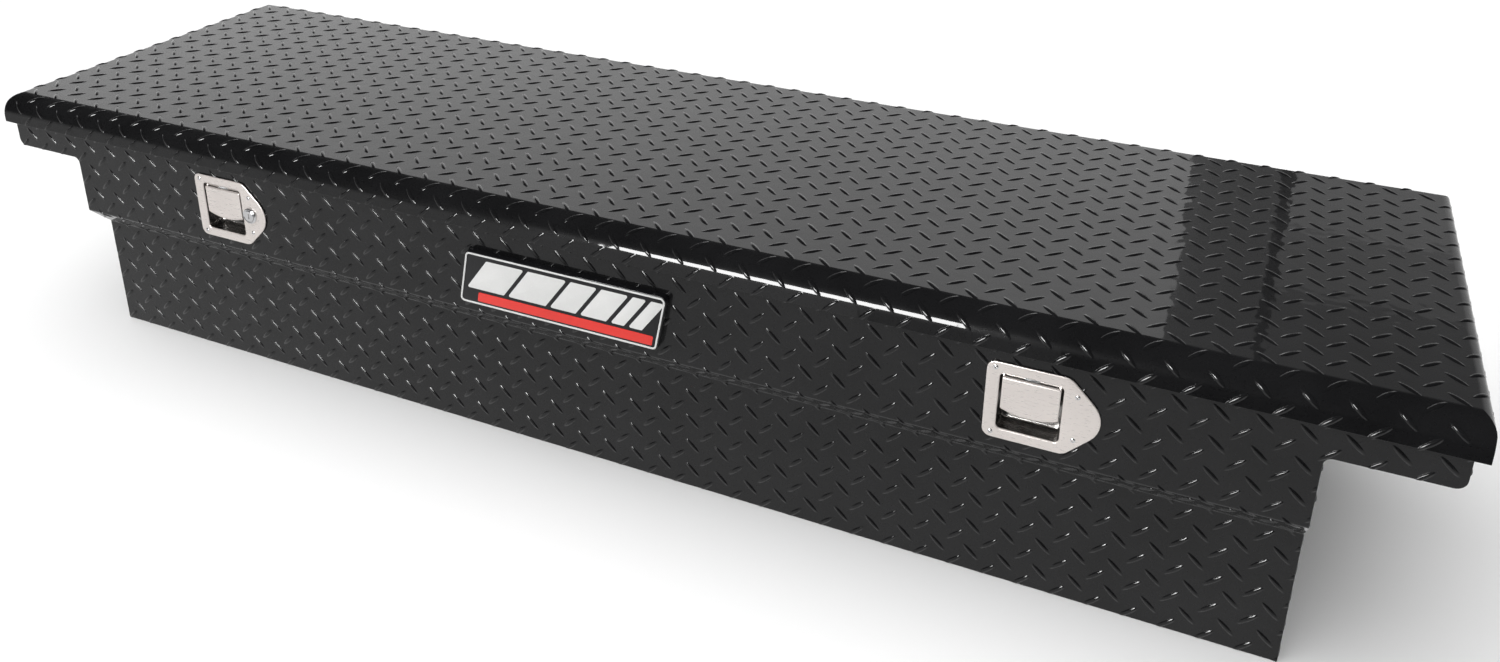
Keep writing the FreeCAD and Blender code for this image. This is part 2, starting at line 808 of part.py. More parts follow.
def strut_tube(side):
    """The strut's pressure tube, with its eye at the foot and its gland at the top."""
    name = "strut_tube_" + side
    half_eye = dims.strut_eye_width / 2
    start = dims.strut_tube_start
    end = start + dims.strut_tube_length
    solid = join(name + "_solid", [
        bar(name + "_eye", "X", 0, 0, dims.strut_eye_radius, (-half_eye, half_eye)),
        bar(name + "_neck", "Z", 0, 0, dims.strut_rod_radius, (half_eye, start)),
        bar(name + "_wall", "Z", 0, 0, dims.strut_tube_radius, (start, end)),
    ])
    bore_span = (start + dims.strut_tube_end_wall, end - dims.strut_gland_length)
    hollow = [
        bar(name + "_pivot", "X", 0, 0, dims.strut_eye_bore, (-half_eye, half_eye)),
        bar(name + "_bore", "Z", 0, 0, dims.strut_bore_radius, bore_span),
        bar(name + "_gland", "Z", 0, 0, dims.strut_gland_radius, (bore_span[0], end)),
    ]
    tube = cut(name, solid, [hollow[0], join(name + "_inside", hollow[1:])])
    stand_strut(tube, side, STRUT_FOOT_Y, STRUT_FOOT_Z)
    return sub_part(tube, name)


def strut_rod(side):
    """The strut's rod, with its eye at the lid and its piston inside the tube."""
    name = "strut_rod_" + side
    half_eye = dims.strut_eye_width / 2
    tip = dims.strut_piston_start - STRUT_CLOSED
    solid = join(name + "_solid", [
        bar(name + "_eye", "X", 0, 0, dims.strut_eye_radius, (-half_eye, half_eye)),
        bar(name + "_shaft", "Z", 0, 0, dims.strut_rod_radius, (tip, -half_eye)),
        bar(name + "_piston", "Z", 0, 0, dims.strut_piston_radius, (tip, tip + dims.strut_piston_length)),
    ])
    pivot = bar(name + "_pivot", "X", 0, 0, dims.strut_eye_bore, (-half_eye, half_eye))
    rod = cut(name, solid, [pivot])
    stand_strut(rod, side, STRUT_HEAD_Y, STRUT_HEAD_Z)
    return sub_part(rod, name)


# ---------------------------------------------------------------- paddle latches


def flange_outline(sketch, side, inset):
    """The latch flange's outline: square on the left, pointed on the right."""
    middle = latch_x(side)
    half = dims.flange_half_height - inset
    # a 45 degree flank moves in by this much along X when the outline shrinks
    shoulder = middle + dims.flange_shoulder - as_size(inset) * FOLD_SHARE
    points = [
        (middle - dims.flange_left + inset, dims.latch_z - half),
        (shoulder, dims.latch_z - half),
        (shoulder + half, dims.latch_z),
        (shoulder, dims.latch_z + half),
        (middle - dims.flange_left + inset, dims.latch_z + half),
    ]
    outline(sketch, points)
    return points


def round_flange(body, points):
    """Rounds the flange's corners: two square ones, two shoulders and the nose."""
    groups = [
        (dims.flange_corner, [points[0], points[4]]),
        (dims.flange_shoulder_radius, [points[1], points[3]]),
        (dims.flange_nose_radius, [points[2]]),
    ]
    for radius, corners in groups:
        round_edges(body, radius, lambda edge: edge_at(edge, Y_AXIS, corners))


def window(side, margin):
    """The latch window's (x, x) and (z, z) pairs, grown by a margin."""
    middle = latch_x(side)
    half_width = dims.dish_half_width + margin
    half_height = dims.dish_half_height + margin
    return (
        (middle - half_width, middle + half_width),
        (dims.latch_z - half_height, dims.latch_z + half_height),
    )


def latch_holes(sketch, side):
    """Rivet holes of a latch, and the lock's hole where there is one."""
    for place in rivet_places(side):
        circle(sketch, place, dims.rivet_hole_radius)
    if side == "left":
        circle(sketch, lock_centre(), dims.lock_hole_radius)


def latch_gasket(side):
    """The thin rubber gasket between a latch and the front wall."""
    body = new_body("latch_gasket_" + side)
    sheet = sketch_on(body, "XZ_Plane", -dims.face_y, "gasket_outline_" + side)
    points = flange_outline(sheet, side, dims.gasket_inset)
    pad(body, sheet, dims.gasket_gauge)
    round_flange(body, points)
    holes = sketch_on(body, "XZ_Plane", 0, "gasket_holes_" + side)
    rectangle(holes, *window(side, dims.dish_wall + dims.dish_clearance))
    latch_holes(holes, side)
    pocket(body, holes, LONG_CUT)
    return sub_part(body, "latch_gasket_" + side)


def latch_dish(side):
    """The stamped stainless flange with its sunken dish."""
    body = new_body("latch_dish_" + side)
    sheet = sketch_on(body, "XZ_Plane", -GASKET_FRONT_Y, "flange_outline_" + side)
    points = flange_outline(sheet, side, 0)
    pad(body, sheet, dims.flange_gauge)
    round_flange(body, points)
    bowl = sketch_on(body, "XZ_Plane", -dims.dish_back_y, "dish_outside_" + side)
    rectangle(bowl, *window(side, dims.dish_wall))
    pad(body, bowl, dims.dish_back_y - GASKET_FRONT_Y)
    hollow = sketch_on(body, "XZ_Plane", -FLANGE_FRONT_Y, "dish_inside_" + side)
    rectangle(hollow, *window(side, 0))
    pocket(body, hollow, (dims.dish_back_y - dims.dish_wall - FLANGE_FRONT_Y) * 2)
    spans = window(side, 0)
    corners = [(x, z) for x in spans[0] for z in spans[1]]
    round_edges(body, dims.dish_corner, lambda edge: edge_at(edge, Y_AXIS, corners))
    holes = sketch_on(body, "XZ_Plane", 0, "dish_holes_" + side)
    latch_holes(holes, side)
    pocket(body, holes, LONG_CUT)
    pin_holes = sketch_on(body, "YZ_Plane", latch_x(side), "dish_pin_holes_" + side)
    circle(pin_holes, (dims.paddle_axis_y, PADDLE_AXIS_Z), dims.paddle_bore_radius)
    pocket(body, pin_holes, (dims.dish_half_width + dims.dish_wall) * 2)
    return sub_part(body, "latch_dish_" + side)


def latch_rivets(side):
    """The four small rivets through a latch flange, its gasket and the wall."""
    rivets = []
    for number, (x, z) in enumerate(rivet_places(side)):
        name = "latch_rivet_%s_%d" % (side, number)
        head_span = (FLANGE_FRONT_Y - dims.rivet_head_height, FLANGE_FRONT_Y)
        shank_span = (FLANGE_FRONT_Y, dims.rivet_tip_y)
        head = bar(name + "_head", "Y", x, z, dims.rivet_head_radius, head_span)
        shank = bar(name + "_shank", "Y", x, z, dims.rivet_shank_radius, shank_span)
        rivets.append(join(name, [head, shank]))
    return sub_part(group("latch_rivets_" + side, rivets), "latch_rivets_" + side)


def paddle(side):
    """The hinged paddle: a plate with two ears on the pin and a finger lip at its foot."""
    name = "paddle_" + side
    middle = latch_x(side)
    half = dims.paddle_half_width
    width = (middle - half, middle + half)
    back_y = dims.paddle_front_y + dims.paddle_gauge
    foot_z = dims.latch_z - dims.paddle_bottom
    top_z = dims.latch_z + dims.paddle_top
    plate = block(name + "_plate", width, (dims.paddle_front_y, back_y), (foot_z, top_z))
    lip_y = (back_y, dims.paddle_front_y + dims.paddle_lip_depth)
    lip = block(name + "_lip", width, lip_y, (foot_z, foot_z + dims.paddle_gauge))
    pieces = [plate, lip]
    bores = []
    for number, edge in enumerate((width[0], width[1] - dims.paddle_gauge)):
        ear_x = (edge, edge + dims.paddle_gauge)
        tag = "%s_%d" % (name, number)
        web_z = (PADDLE_AXIS_Z - dims.paddle_web_depth, PADDLE_AXIS_Z - dims.paddle_web_top)
        web_y = (back_y, dims.paddle_axis_y + dims.paddle_ear_radius)
        ear = bar(tag + "_ear", "X", dims.paddle_axis_y, PADDLE_AXIS_Z, dims.paddle_ear_radius, ear_x)
        pieces.append(ear)
        pieces.append(block(tag + "_web", ear_x, web_y, web_z))
        bore = bar(tag + "_bore", "X", dims.paddle_axis_y, PADDLE_AXIS_Z, dims.paddle_bore_radius, ear_x)
        bores.append(bore)
    return sub_part(cut(name, join(name + "_solid", pieces), bores), name)


def paddle_pin(side):
    """The pin that a paddle swings on, held in the dish's side walls."""
    name = "paddle_pin_" + side
    middle = latch_x(side)
    half = dims.dish_half_width + dims.dish_wall
    span = (middle - half, middle + half)
    pin = bar(name, "X", dims.paddle_axis_y, PADDLE_AXIS_Z, dims.paddle_pin_radius, span)
    return sub_part(pin, name)


def paddle_spring(side):
    """The wound return spring around a paddle's pin."""
    body = new_body("paddle_spring_" + side)
    wire = sketch_on(body, "XY_Plane", 0, "spring_wire_" + side)
    circle(wire, (-dims.coil_length / 2, dims.coil_radius), dims.coil_wire_radius)
    coil = body.newObject("PartDesign::AdditiveHelix", "spring_coil_" + side)
    coil.Profile = wire
    coil.ReferenceAxis = (wire, ["H_Axis"])
    coil.Mode = "pitch-height-angle"
    bind(coil, "Pitch", dims.coil_pitch)
    bind(coil, "Height", dims.coil_length)
    put(body, latch_x(side), dims.paddle_axis_y, PADDLE_AXIS_Z)
    return sub_part(body, "paddle_spring_" + side)


def latch_frame(side):
    """The bracket behind a dish: a plate with two slotted cheeks that guide the striker."""
    name = "latch_frame_" + side
    body = new_body(name)
    middle = latch_x(side)
    plate_back_y = dims.dish_back_y + dims.frame_gauge
    plate = sketch_on(body, "XZ_Plane", -plate_back_y, name + "_plate")
    half = dims.frame_half_width
    rectangle(plate, (middle - half, middle + half), (dims.frame_plate_floor_z, dims.frame_plate_top_z))
    pad(body, plate, dims.frame_gauge)
    for number, start in enumerate((-dims.cheek_inner - dims.frame_gauge, dims.cheek_inner)):
        cheek = sketch_on(body, "YZ_Plane", middle + start, "%s_cheek_%d" % (name, number))
        outline(cheek, [
            (plate_back_y, dims.cheek_floor_z),
            (dims.cheek_back_y, dims.cheek_floor_z + dims.frame_half_width),
            (dims.cheek_back_y, dims.cheek_top_z),
            (dims.striker_y + dims.slot_half_width, dims.cheek_top_z),
            (dims.striker_y + dims.slot_half_width, dims.slot_floor_z),
            (dims.striker_y - dims.slot_half_width, dims.slot_floor_z),
            (dims.striker_y - dims.slot_half_width, dims.cheek_top_z),
            (dims.hook_y - dims.slot_half_width, dims.cheek_top_z),
            (plate_back_y, dims.frame_plate_top_z),
        ])
        pad(body, cheek, dims.frame_gauge)
    bore = sketch_on(body, "YZ_Plane", middle, name + "_bore")
    circle(bore, (dims.hook_y, dims.hook_z), dims.hook_bore_radius)
    pocket(body, bore, dims.frame_half_width * 2)
    return sub_part(body, name)


def hook_pin(side):
    """The headed pin that a hook turns on."""
    name = "hook_pin_" + side
    middle = latch_x(side)
    reach = dims.cheek_inner + dims.frame_gauge
    head = reach + dims.frame_gauge
    pin_radius = dims.hook_pin_radius
    head_radius = dims.hook_pin_head
    pieces = [
        bar(name + "_shank", "X", dims.hook_y, dims.hook_z, pin_radius, (middle - head, middle + head)),
        bar(name + "_head", "X", dims.hook_y, dims.hook_z, head_radius, (middle - head, middle - reach)),
        bar(name + "_upset", "X", dims.hook_y, dims.hook_z, head_radius, (middle + reach, middle + head)),
    ]
    return sub_part(join(name, pieces), name)


def latch_hook(side):
    """The hook that swings over the striker, standing here in its released position."""
    name = "latch_hook_" + side
    body = new_body(name)
    blade = sketch_on(body, "YZ_Plane", -dims.hook_half_width, name + "_blade")
    outline(blade, [
        (-dims.hook_arm_back, -dims.hook_tail),
        (dims.hook_arm_back, -dims.hook_tail),
        (dims.hook_arm_front, 0),
        (dims.hook_arm_front, dims.hook_lip_floor),
        (dims.hook_lip_reach, dims.hook_lip_floor),
        (dims.hook_lip_reach, dims.hook_lip_floor + dims.hook_lip_edge),
        (dims.hook_arm_front, dims.hook_lip_top),
        (-dims.hook_arm_back, dims.hook_lip_top),
    ])
    circle(blade, (0, 0), dims.hook_bore_radius)
    pad(body, blade, dims.hook_half_width * 2)
    turn = FreeCAD.Rotation(X_AXIS, dims.hook_release_angle.value)
    body.Placement = FreeCAD.Placement(FreeCAD.Vector(), turn)
    bind(body, "Placement.Rotation.Angle", dims.hook_release_angle)
    put(body, latch_x(side), dims.hook_y, dims.hook_z)
    return sub_part(body, name)


# ---------------------------------------------------------------- lock


def lock_housing():
    """The lock's round body, with its raised face in front of the flange."""
    x, z = lock_centre()
    face_y = FLANGE_FRONT_Y - dims.lock_face_height
    solid = join("lock_housing_solid", [
        bar("lock_face", "Y", x, z, dims.lock_face_radius, (face_y, FLANGE_FRONT_Y)),
        bar("lock_body", "Y", x, z, dims.lock_body_radius, (FLANGE_FRONT_Y, dims.lock_body_end_y)),
    ])
    bore = bar("lock_bore", "Y", x, z, dims.lock_plug_bore, (face_y, dims.lock_body_end_y))
    return sub_part(cut("lock_housing", solid, [bore]), "lock_housing")


def lock_clip():
    """The spring plate that holds the lock against the wall's inside."""
    x, z = lock_centre()
    half = dims.lock_clip_half
    span_y = (INNER_FACE_Y, INNER_FACE_Y + dims.lock_clip_gauge)
    plate = block("lock_clip_plate", (x - half, x + half), span_y, (z - half - GAUGE, z + half + GAUGE))
    hole = bar("lock_clip_hole", "Y", x, z, dims.lock_hole_radius, span_y)
    return sub_part(cut("lock_clip", plate, [hole]), "lock_clip")


def lock_plug():
    """The turning plug with its keyway."""
    x, z = lock_centre()
    front_y = FLANGE_FRONT_Y - dims.lock_face_height - dims.lock_plug_proud
    plug = bar("lock_plug_solid", "Y", x, z, dims.lock_plug_radius, (front_y, dims.lock_plug_end_y))
    half_width = dims.keyway_width / 2
    half_height = dims.keyway_height / 2
    keyway = block(
        "lock_keyway",
        (x - half_width, x + half_width),
        (front_y, front_y + dims.keyway_depth),
        (z - half_height, z + half_height),
    )
    return sub_part(cut("lock_plug", plug, [keyway]), "lock_plug")


def lock_cam():
    """The cam on the plug's end, hanging down when the lock is open."""
    x, z = lock_centre()
    span_y = (dims.lock_plug_end_y, dims.lock_plug_end_y + dims.cam_gauge)
    half = dims.cam_half_width
    cam = join("lock_cam", [
        block("lock_cam_arm", (x - half, x + half), span_y, (z - dims.cam_length, z)),
        bar("lock_cam_hub", "Y", x, z, dims.lock_plug_radius, span_y),
    ])
    return sub_part(cam, "lock_cam")


# ---------------------------------------------------------------- badge


def badge_layer(name, inset, front_y, depth):
    """One slanted layer of the plain badge."""
    body = new_body(name)
    half = dims.badge_half_length - inset
    low = dims.badge_floor_z + inset
    high = dims.badge_floor_z + dims.badge_height - inset
    slant = dims.badge_slant / 2
    middle = dims.badge_middle_x
    points = [
        (middle - half - slant, low),
        (middle + half - slant, low),
        (middle + half + slant, high),
        (middle - half + slant, high),
    ]
    plate = sketch_on(body, "XZ_Plane", -(front_y + depth), name + "_outline")
    outline(plate, points)
    pad(body, plate, depth)
    round_edges(body, dims.badge_corner, lambda edge: edge_at(edge, Y_AXIS, points))
    return sub_part(body, name)


def badge():
    """The black moulded base and the bright-edged face plate on it."""
    seam_y = dims.face_y - dims.badge_body_depth
    badge_layer("badge_base", as_size(0), seam_y, dims.badge_body_depth)
    badge_layer("badge_face", dims.badge_face_inset, seam_y - dims.badge_face_gauge, dims.badge_face_gauge)


# ---------------------------------------------------------------- lid


def lid_form(name, inset, low_z, high_z, back_y):
    """A rolled-front block: the lid's outside, or the space inside it when inset."""
    half = HALF_LID - inset
    front_y = dims.lid_front_y + inset
    lengthways = new_body(name + "_lengthways")
    profile = sketch_on(lengthways, "YZ_Plane", -half, name + "_profile")
    rectangle(profile, (front_y, back_y), (low_z, high_z))
    pad(lengthways, profile, half * 2)
    roll = dims.roll_radius - inset
    bend = dims.bend_radius - inset
    round_edges(lengthways, roll, lambda edge: edge_at(edge, X_AXIS, [(front_y, high_z)]))
    round_edges(lengthways, bend, lambda edge: edge_at(edge, X_AXIS, [(back_y, high_z)]))
    crossways = new_body(name + "_crossways")
    section = sketch_on(crossways, "XZ_Plane", -back_y, name + "_section")
    rectangle(section, (-half, half), (low_z, high_z))
    pad(crossways, section, back_y - front_y)
    shoulders = [(half, high_z), (-half, high_z)]
    round_edges(crossways, bend, lambda edge: edge_at(edge, Y_AXIS, shoulders))
    both = doc.addObject("Part::Common", name)
    both.Base = lengthways
    both.Tool = crossways
    return both


def lid_skin():
    """The lid's tread-plate skin: a tray with a rolled front, mitred at the front corners."""
    top_z = dims.overall_height
    outside = lid_form("lid_outside", as_size(0), SKIRT_EDGE_Z, top_z, dims.lid_back_y)
    inside = lid_form("lid_inside", GAUGE, SKIRT_EDGE_Z - GAUGE, top_z - GAUGE, dims.lid_back_y - GAUGE)
    return sub_part(cut("lid_skin", outside, [inside]), "lid_skin")


def lid_foam():
    """The foam core between the skin and the pan."""
    inset = GAUGE + dims.foam_gap
    back_y = dims.lid_back_y - GAUGE - dims.hinge_leaf_gauge - dims.foam_gap
    filling = lid_form("lid_filling", inset, SKIRT_EDGE_Z, dims.overall_height - inset, back_y)
    below = block("lid_below_pan", (-HALF_LID, HALF_LID), (dims.lid_front_y, dims.lid_back_y), (0, PAN_TOP_Z))
    return sub_part(cut("lid_foam", filling, [below]), "lid_foam")


def striker_screw_places():
    """The striker screws' x positions, with a name for each."""
    places = {}
    for side in SIDES:
        for number, sign in enumerate((-1, 1)):
            places["%s_%d" % (side, number)] = latch_x(side) + dims.striker_screw_x * sign
    return places


def lid_pan():
    """The lid's flat inner pan, which closes the foam and meets the seal."""
    half = HALF_LID - GAUGE - dims.foam_gap
    back_y = dims.lid_back_y - GAUGE - dims.hinge_leaf_gauge - dims.foam_gap
    front_y = dims.lid_front_y + GAUGE + dims.pan_front_gap
    plate = block("lid_pan_plate", (-half, half), (front_y, back_y), (dims.pan_floor_z, PAN_TOP_Z))
    holes = []
    for tag, x in striker_screw_places().items():
        span = (dims.pan_floor_z, PAN_TOP_Z)
        holes.append(bar("pan_hole_" + tag, "Z", x, dims.striker_y, dims.striker_screw_hole, span))
    return sub_part(cut("lid_pan", plate, holes), "lid_pan")


def striker_bend(name, x, z, turn):
    """A quarter bend of the striker's bar, between its leg and its cross bar."""
    bend = doc.addObject("Part::Torus", name)
    bind(bend, "Radius1", dims.striker_bend)
    bind(bend, "Radius2", dims.striker_bar_radius)
    bind(bend, "Angle3", 90)
    upright = FreeCAD.Rotation(X_AXIS, 90)
    bend.Placement = FreeCAD.Placement(FreeCAD.Vector(), upright.multiply(FreeCAD.Rotation(Z_AXIS, turn)))
    put(bend, x, dims.striker_y, z)
    return bend


def striker(side):
    """The lid's striker: a bent bar welded to a base plate."""
    name = "striker_" + side
    middle = latch_x(side)
    y = dims.striker_y
    radius = dims.striker_bar_radius
    plate_floor_z = dims.pan_floor_z - dims.striker_plate_gauge
    plate_half = dims.striker_plate_half_length
    plate = block(
        name + "_plate",
        (middle - plate_half, middle + plate_half),
        (y - dims.striker_plate_half_width, y + dims.striker_plate_half_width),
        (plate_floor_z, dims.pan_floor_z),
    )
    bend_z = dims.striker_z + dims.striker_bend
    leg = dims.striker_half_width
    straight = leg - dims.striker_bend
    pieces = [
        plate,
        bar(name + "_leg_1", "Z", middle - leg, y, radius, (bend_z, dims.pan_floor_z)),
        bar(name + "_leg_2", "Z", middle + leg, y, radius, (bend_z, dims.pan_floor_z)),
        bar(name + "_cross", "X", y, dims.striker_z, radius, (middle - straight, middle + straight)),
        striker_bend(name + "_bend_1", middle - straight, bend_z, 180),
        striker_bend(name + "_bend_2", middle + straight, bend_z, 270),
    ]
    holes = []
    for tag, x in striker_screw_places().items():
        if tag.startswith(side):
            span = (plate_floor_z, dims.pan_floor_z)
            holes.append(bar("striker_hole_" + tag, "Z", x, y, dims.striker_screw_hole, span))
    return sub_part(cut(name, join(name + "_solid", pieces), holes), name)


def striker_screws():
    """The screws that hold both strikers to the pan."""
    plate_floor_z = dims.pan_floor_z - dims.striker_plate_gauge
    head_floor_z = plate_floor_z - dims.striker_screw_head_height
    screws = []
    for tag, x in striker_screw_places().items():
        name = "striker_screw_" + tag
        y = dims.striker_y
        head = bar(name + "_head", "Z", x, y, dims.striker_screw_head, (head_floor_z, plate_floor_z))
        shank = bar(name + "_shank", "Z", x, y, dims.striker_screw_radius, (plate_floor_z, PAN_TOP_Z))
        screws.append(join(name, [head, shank]))
    return sub_part(group("striker_screws", screws), "striker_screws")


# ---------------------------------------------------------------- assembly


def build_tub():
    """Everything that stays with the tub."""
    front_panel()
    back_panel()
    floor_panel()
    rim_frame()
    weather_seal()
    hinge_leaf_tub()
    hinge_pin()
    hinge_rivets()
    for side in SIDES:
        end_panel(side)
        strut_bracket_tub(side)
        wall = HALF_TUB - GAUGE - dims.bracket_gauge
        strut_stud("strut_stud_tub_" + side, side, wall, STRUT_FOOT_Y, STRUT_FOOT_Z)
    strut_clips("strut_clips_tub", STRUT_FOOT_Y, STRUT_FOOT_Z)
    badge()


def build_latches():
    """Both paddle latches, and the lock on the left one."""
    for side in SIDES:
        latch_gasket(side)
        latch_dish(side)
        latch_rivets(side)
        paddle(side)
        paddle_pin(side)
        paddle_spring(side)
        latch_frame(side)
        hook_pin(side)
        latch_hook(side)
    lock_housing()
    lock_clip()
    lock_plug()
    lock_cam()


def build_lid():
    """Everything that opens with the lid, and the two gas struts."""
    lid_skin()
    lid_pan()
    lid_foam()
    hinge_leaf_lid()
    striker_screws()
    for side in SIDES:
        striker(side)
        strut_bracket_lid(side)
        strut_stud("strut_stud_lid_" + side, side, dims.lid_bracket_x, STRUT_HEAD_Y, STRUT_HEAD_Z)
        strut_tube(side)
        strut_rod(side)
    strut_clips("strut_clips_lid", STRUT_HEAD_Y, STRUT_HEAD_Z)


def check_and_write():
    """Stops if any object failed, then writes one file for each sub-part."""
    doc.recompute()
    failed = [item.Name for item in doc.Objects if "Invalid" in item.State or "Error" in item.State]
    if failed:
        raise RuntimeError("failed objects: " + ", ".join(failed))
    for piece in sub_parts:
        if piece.Shape.isNull() or not piece.Shape.isValid() or not piece.Shape.Solids:
            raise RuntimeError("bad shape: " + piece.Label)
    os.makedirs("parts", exist_ok=True)
    for piece in sub_parts:
        piece.Shape.exportStep("parts/" + piece.Label + ".step")
    print(len(sub_parts), "sub-parts written")


build_tub()
build_latches()
build_lid()
check_and_write()
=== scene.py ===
"""The looks of a truck tool box in black tread plate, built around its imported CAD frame.

The frame is the CAD's: +X along the box, -Y to its front, +Z up. Lengths are metres and angles are degrees.
A folded sheet is laid out flat first, in (s, t), with its outside towards the reader; then it is folded.
"""
import math

import bmesh
import bpy
import numpy as np
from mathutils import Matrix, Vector
from mathutils.geometry import delaunay_2d_cdt, tessellate_polygon


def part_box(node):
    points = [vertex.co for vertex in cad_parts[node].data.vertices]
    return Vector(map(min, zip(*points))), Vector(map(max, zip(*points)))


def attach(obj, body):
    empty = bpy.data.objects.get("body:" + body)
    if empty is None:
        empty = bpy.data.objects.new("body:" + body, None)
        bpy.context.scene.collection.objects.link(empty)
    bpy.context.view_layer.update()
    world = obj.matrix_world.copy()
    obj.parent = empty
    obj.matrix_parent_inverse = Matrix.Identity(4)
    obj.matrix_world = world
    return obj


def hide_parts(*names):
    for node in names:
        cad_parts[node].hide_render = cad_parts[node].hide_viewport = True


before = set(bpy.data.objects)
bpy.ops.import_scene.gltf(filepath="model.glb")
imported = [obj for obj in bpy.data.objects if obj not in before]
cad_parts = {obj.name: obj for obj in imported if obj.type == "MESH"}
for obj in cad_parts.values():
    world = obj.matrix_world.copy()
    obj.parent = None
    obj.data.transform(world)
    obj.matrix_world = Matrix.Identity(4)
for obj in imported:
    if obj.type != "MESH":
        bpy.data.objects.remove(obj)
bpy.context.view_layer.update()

MM = 0.001
SIDES = {"left": -1, "right": 1}

# ---- sizes that the frame's boxes don't give

GAUGE = 2 * MM
EDGE_ROUND = 0.6 * MM
ROLL_RADIUS = 28 * MM
BEND_RADIUS = 12 * MM
LIP_LEAN = math.radians(10)
TUB_HALF_LENGTH = 765 * MM
WING_FLOOR_Z = 260 * MM
WING_CORNER_RADIUS = 10 * MM
NOTCH_RADIUS = 8 * MM
CREASE_Z = 183 * MM
CREASE_RADIUS = 4 * MM
WAIST_INSET = 29 * MM
WAIST_RADIUS = 3 * MM
BOLT_HOLE_X = 820 * MM
BOLT_HOLE_Y = 150 * MM
BOLT_HOLE_RADIUS = 5 * MM
TAN_HALF_FOLD = math.tan(math.radians(22.5))

# raised bars of the tread plate
BAR_HALF_LENGTH = 12.2 * MM
BAR_HALF_WIDTH = 2.7 * MM
BAR_HEIGHT = 1.25 * MM
BAR_ANGLE = 43
BAR_TAPER = 1.1
BAR_CROWN = 1.6
BAR_FOOT = 0.15
BAR_MARGIN = 1.07
BAR_RINGS = ((0.0, 12), (0.07, 12), (0.3, 12), (0.75, 8))
BAR_RIDGE = (-0.22, 0.0, 0.22)
SEAM_CLEARANCE = 3.2 * MM
SEAM_REACH = 60 * MM
SLOPE_STEP = 0.002 * MM
WELD_GAP = 0.01 * MM

# pitches of the bars, and the flat place of one bar on each sheet
LID_PITCH = (38.2 * MM, 33.3 * MM)
WALL_PITCH = (36.3 * MM, 33.6 * MM)
LID_BAR_PLACE = (305 * MM, 421.5 * MM)
FRONT_BAR_PLACE = (-375 * MM, 280 * MM)
BACK_BAR_PLACE = (9 * MM, 12 * MM)
END_BAR_PLACE = (7 * MM, 24 * MM)

# waves and clouds in the finishes
RIPPLE_SIZE = 20 * MM
CLOUDS_PER_METRE = 14

# latches, measured from the middle of the window
LATCH_X = 509 * MM
LATCH_Z = 238 * MM
FLANGE_LEFT = 43.5 * MM
FLANGE_SHOULDER = 36 * MM
FLANGE_HALF_HEIGHT = 42.7 * MM
FLANGE_RADII = (9 * MM, 14 * MM, 28 * MM, 14 * MM, 9 * MM)
WINDOW_HALF_WIDTH = 30.5 * MM
WINDOW_HALF_HEIGHT = 31.5 * MM
WINDOW_RADIUS = 5 * MM
CUTOUT_GAP = 2 * MM
LOCK_OFFSET = 43.2 * MM
LOCK_HOLE_RADIUS = 10.1 * MM
POINT_RIVET_RISE = 24 * MM

# paddles, in (y, z) where they are pairs
PADDLE_HALF_WIDTH = 27.9 * MM
PADDLE_GAUGE = 1.8 * MM
PADDLE_CROWN = 0.35 * MM
PADDLE_CROWN_SPAN = 28.8 * MM
PADDLE_TOP = (-236.4 * MM, 264.1 * MM)
PADDLE_TOP_RUN = 0.4 * MM
PADDLE_TOP_RADIUS = 1.2 * MM
PADDLE_FOOT_RUN = 5.2 * MM
PADDLE_FOOT_RADIUS = 3 * MM
PADDLE_FOOT_DROP = 15.5 * MM
PADDLE_FOOT_ARCH = 5 * MM
PADDLE_AXIS = (-232.9 * MM, 265.5 * MM)
EAR_RADIUS = 3.2 * MM
EAR_BORE_RADIUS = 1.6 * MM
EAR_FOOT = ((-237.6 * MM, 263.4 * MM), (-237.6 * MM, 256 * MM), (-234.2 * MM, 256.2 * MM))

# badge
BADGE_SLANT = 14 * MM
BADGE_RADIUS = 7 * MM
BADGE_BAR_GAP = 5.5 * MM
BADGE_BARS = (3, 3, 2, 2, 1, 1)
BADGE_LEAN = 0.75
BADGE_BAR_RADIUS = 1.6 * MM

SEAL_RADIUS = 12 * MM


# ---- flat outlines


def rounded_loop(corners, inset=0.0, segments=8, least=0.2 * MM):
    """A closed anticlockwise outline from (s, t, radius) corners, moved inwards along with its radii."""
    points = []
    for number, (s, t, radius) in enumerate(corners):
        here = np.array((s, t))
        before = here - np.array(corners[number - 1][:2])
        after = np.array(corners[(number + 1) % len(corners)][:2]) - here
        before = before / np.linalg.norm(before)
        after = after / np.linalg.norm(after)
        left_before = np.array((-before[1], before[0]))
        left_after = np.array((-after[1], after[0]))
        bisector = left_before + left_after
        bisector = bisector / bisector.dot(left_before)
        turn = math.atan2(before[0] * after[1] - before[1] * after[0], before.dot(after))
        if radius <= 0 or abs(turn) < 1e-6:
            points.append(here + bisector * inset)
            continue
        side = math.copysign(1, turn)
        size = max(radius - side * inset, least)
        centre = here + bisector * (inset + side * size)
        for step in range(segments + 1):
            angle = turn * step / segments
            c, s = math.cos(angle), math.sin(angle)
            spoke = -left_before * side * size
            points.append(centre + np.array((spoke[0] * c - spoke[1] * s, spoke[0] * s + spoke[1] * c)))
    return np.array(points)


def arc(centre, radius, angles):
    """Points round a centre."""
    return np.array(centre) + radius * np.stack([np.cos(angles), np.sin(angles)], axis=1)


def ring_loop(centre, radius, count):
    """A circle as a closed loop."""
    return arc(centre, radius, np.arange(count) * 2 * math.pi / count)


def rectangle_corners(low, high, radius):
    """Corners of a rectangle for rounded_loop."""
    left, foot, right, head = *low[:2], *high[:2]
    return [(s, t, radius) for s, t in ((left, foot), (right, foot), (right, head), (left, head))]


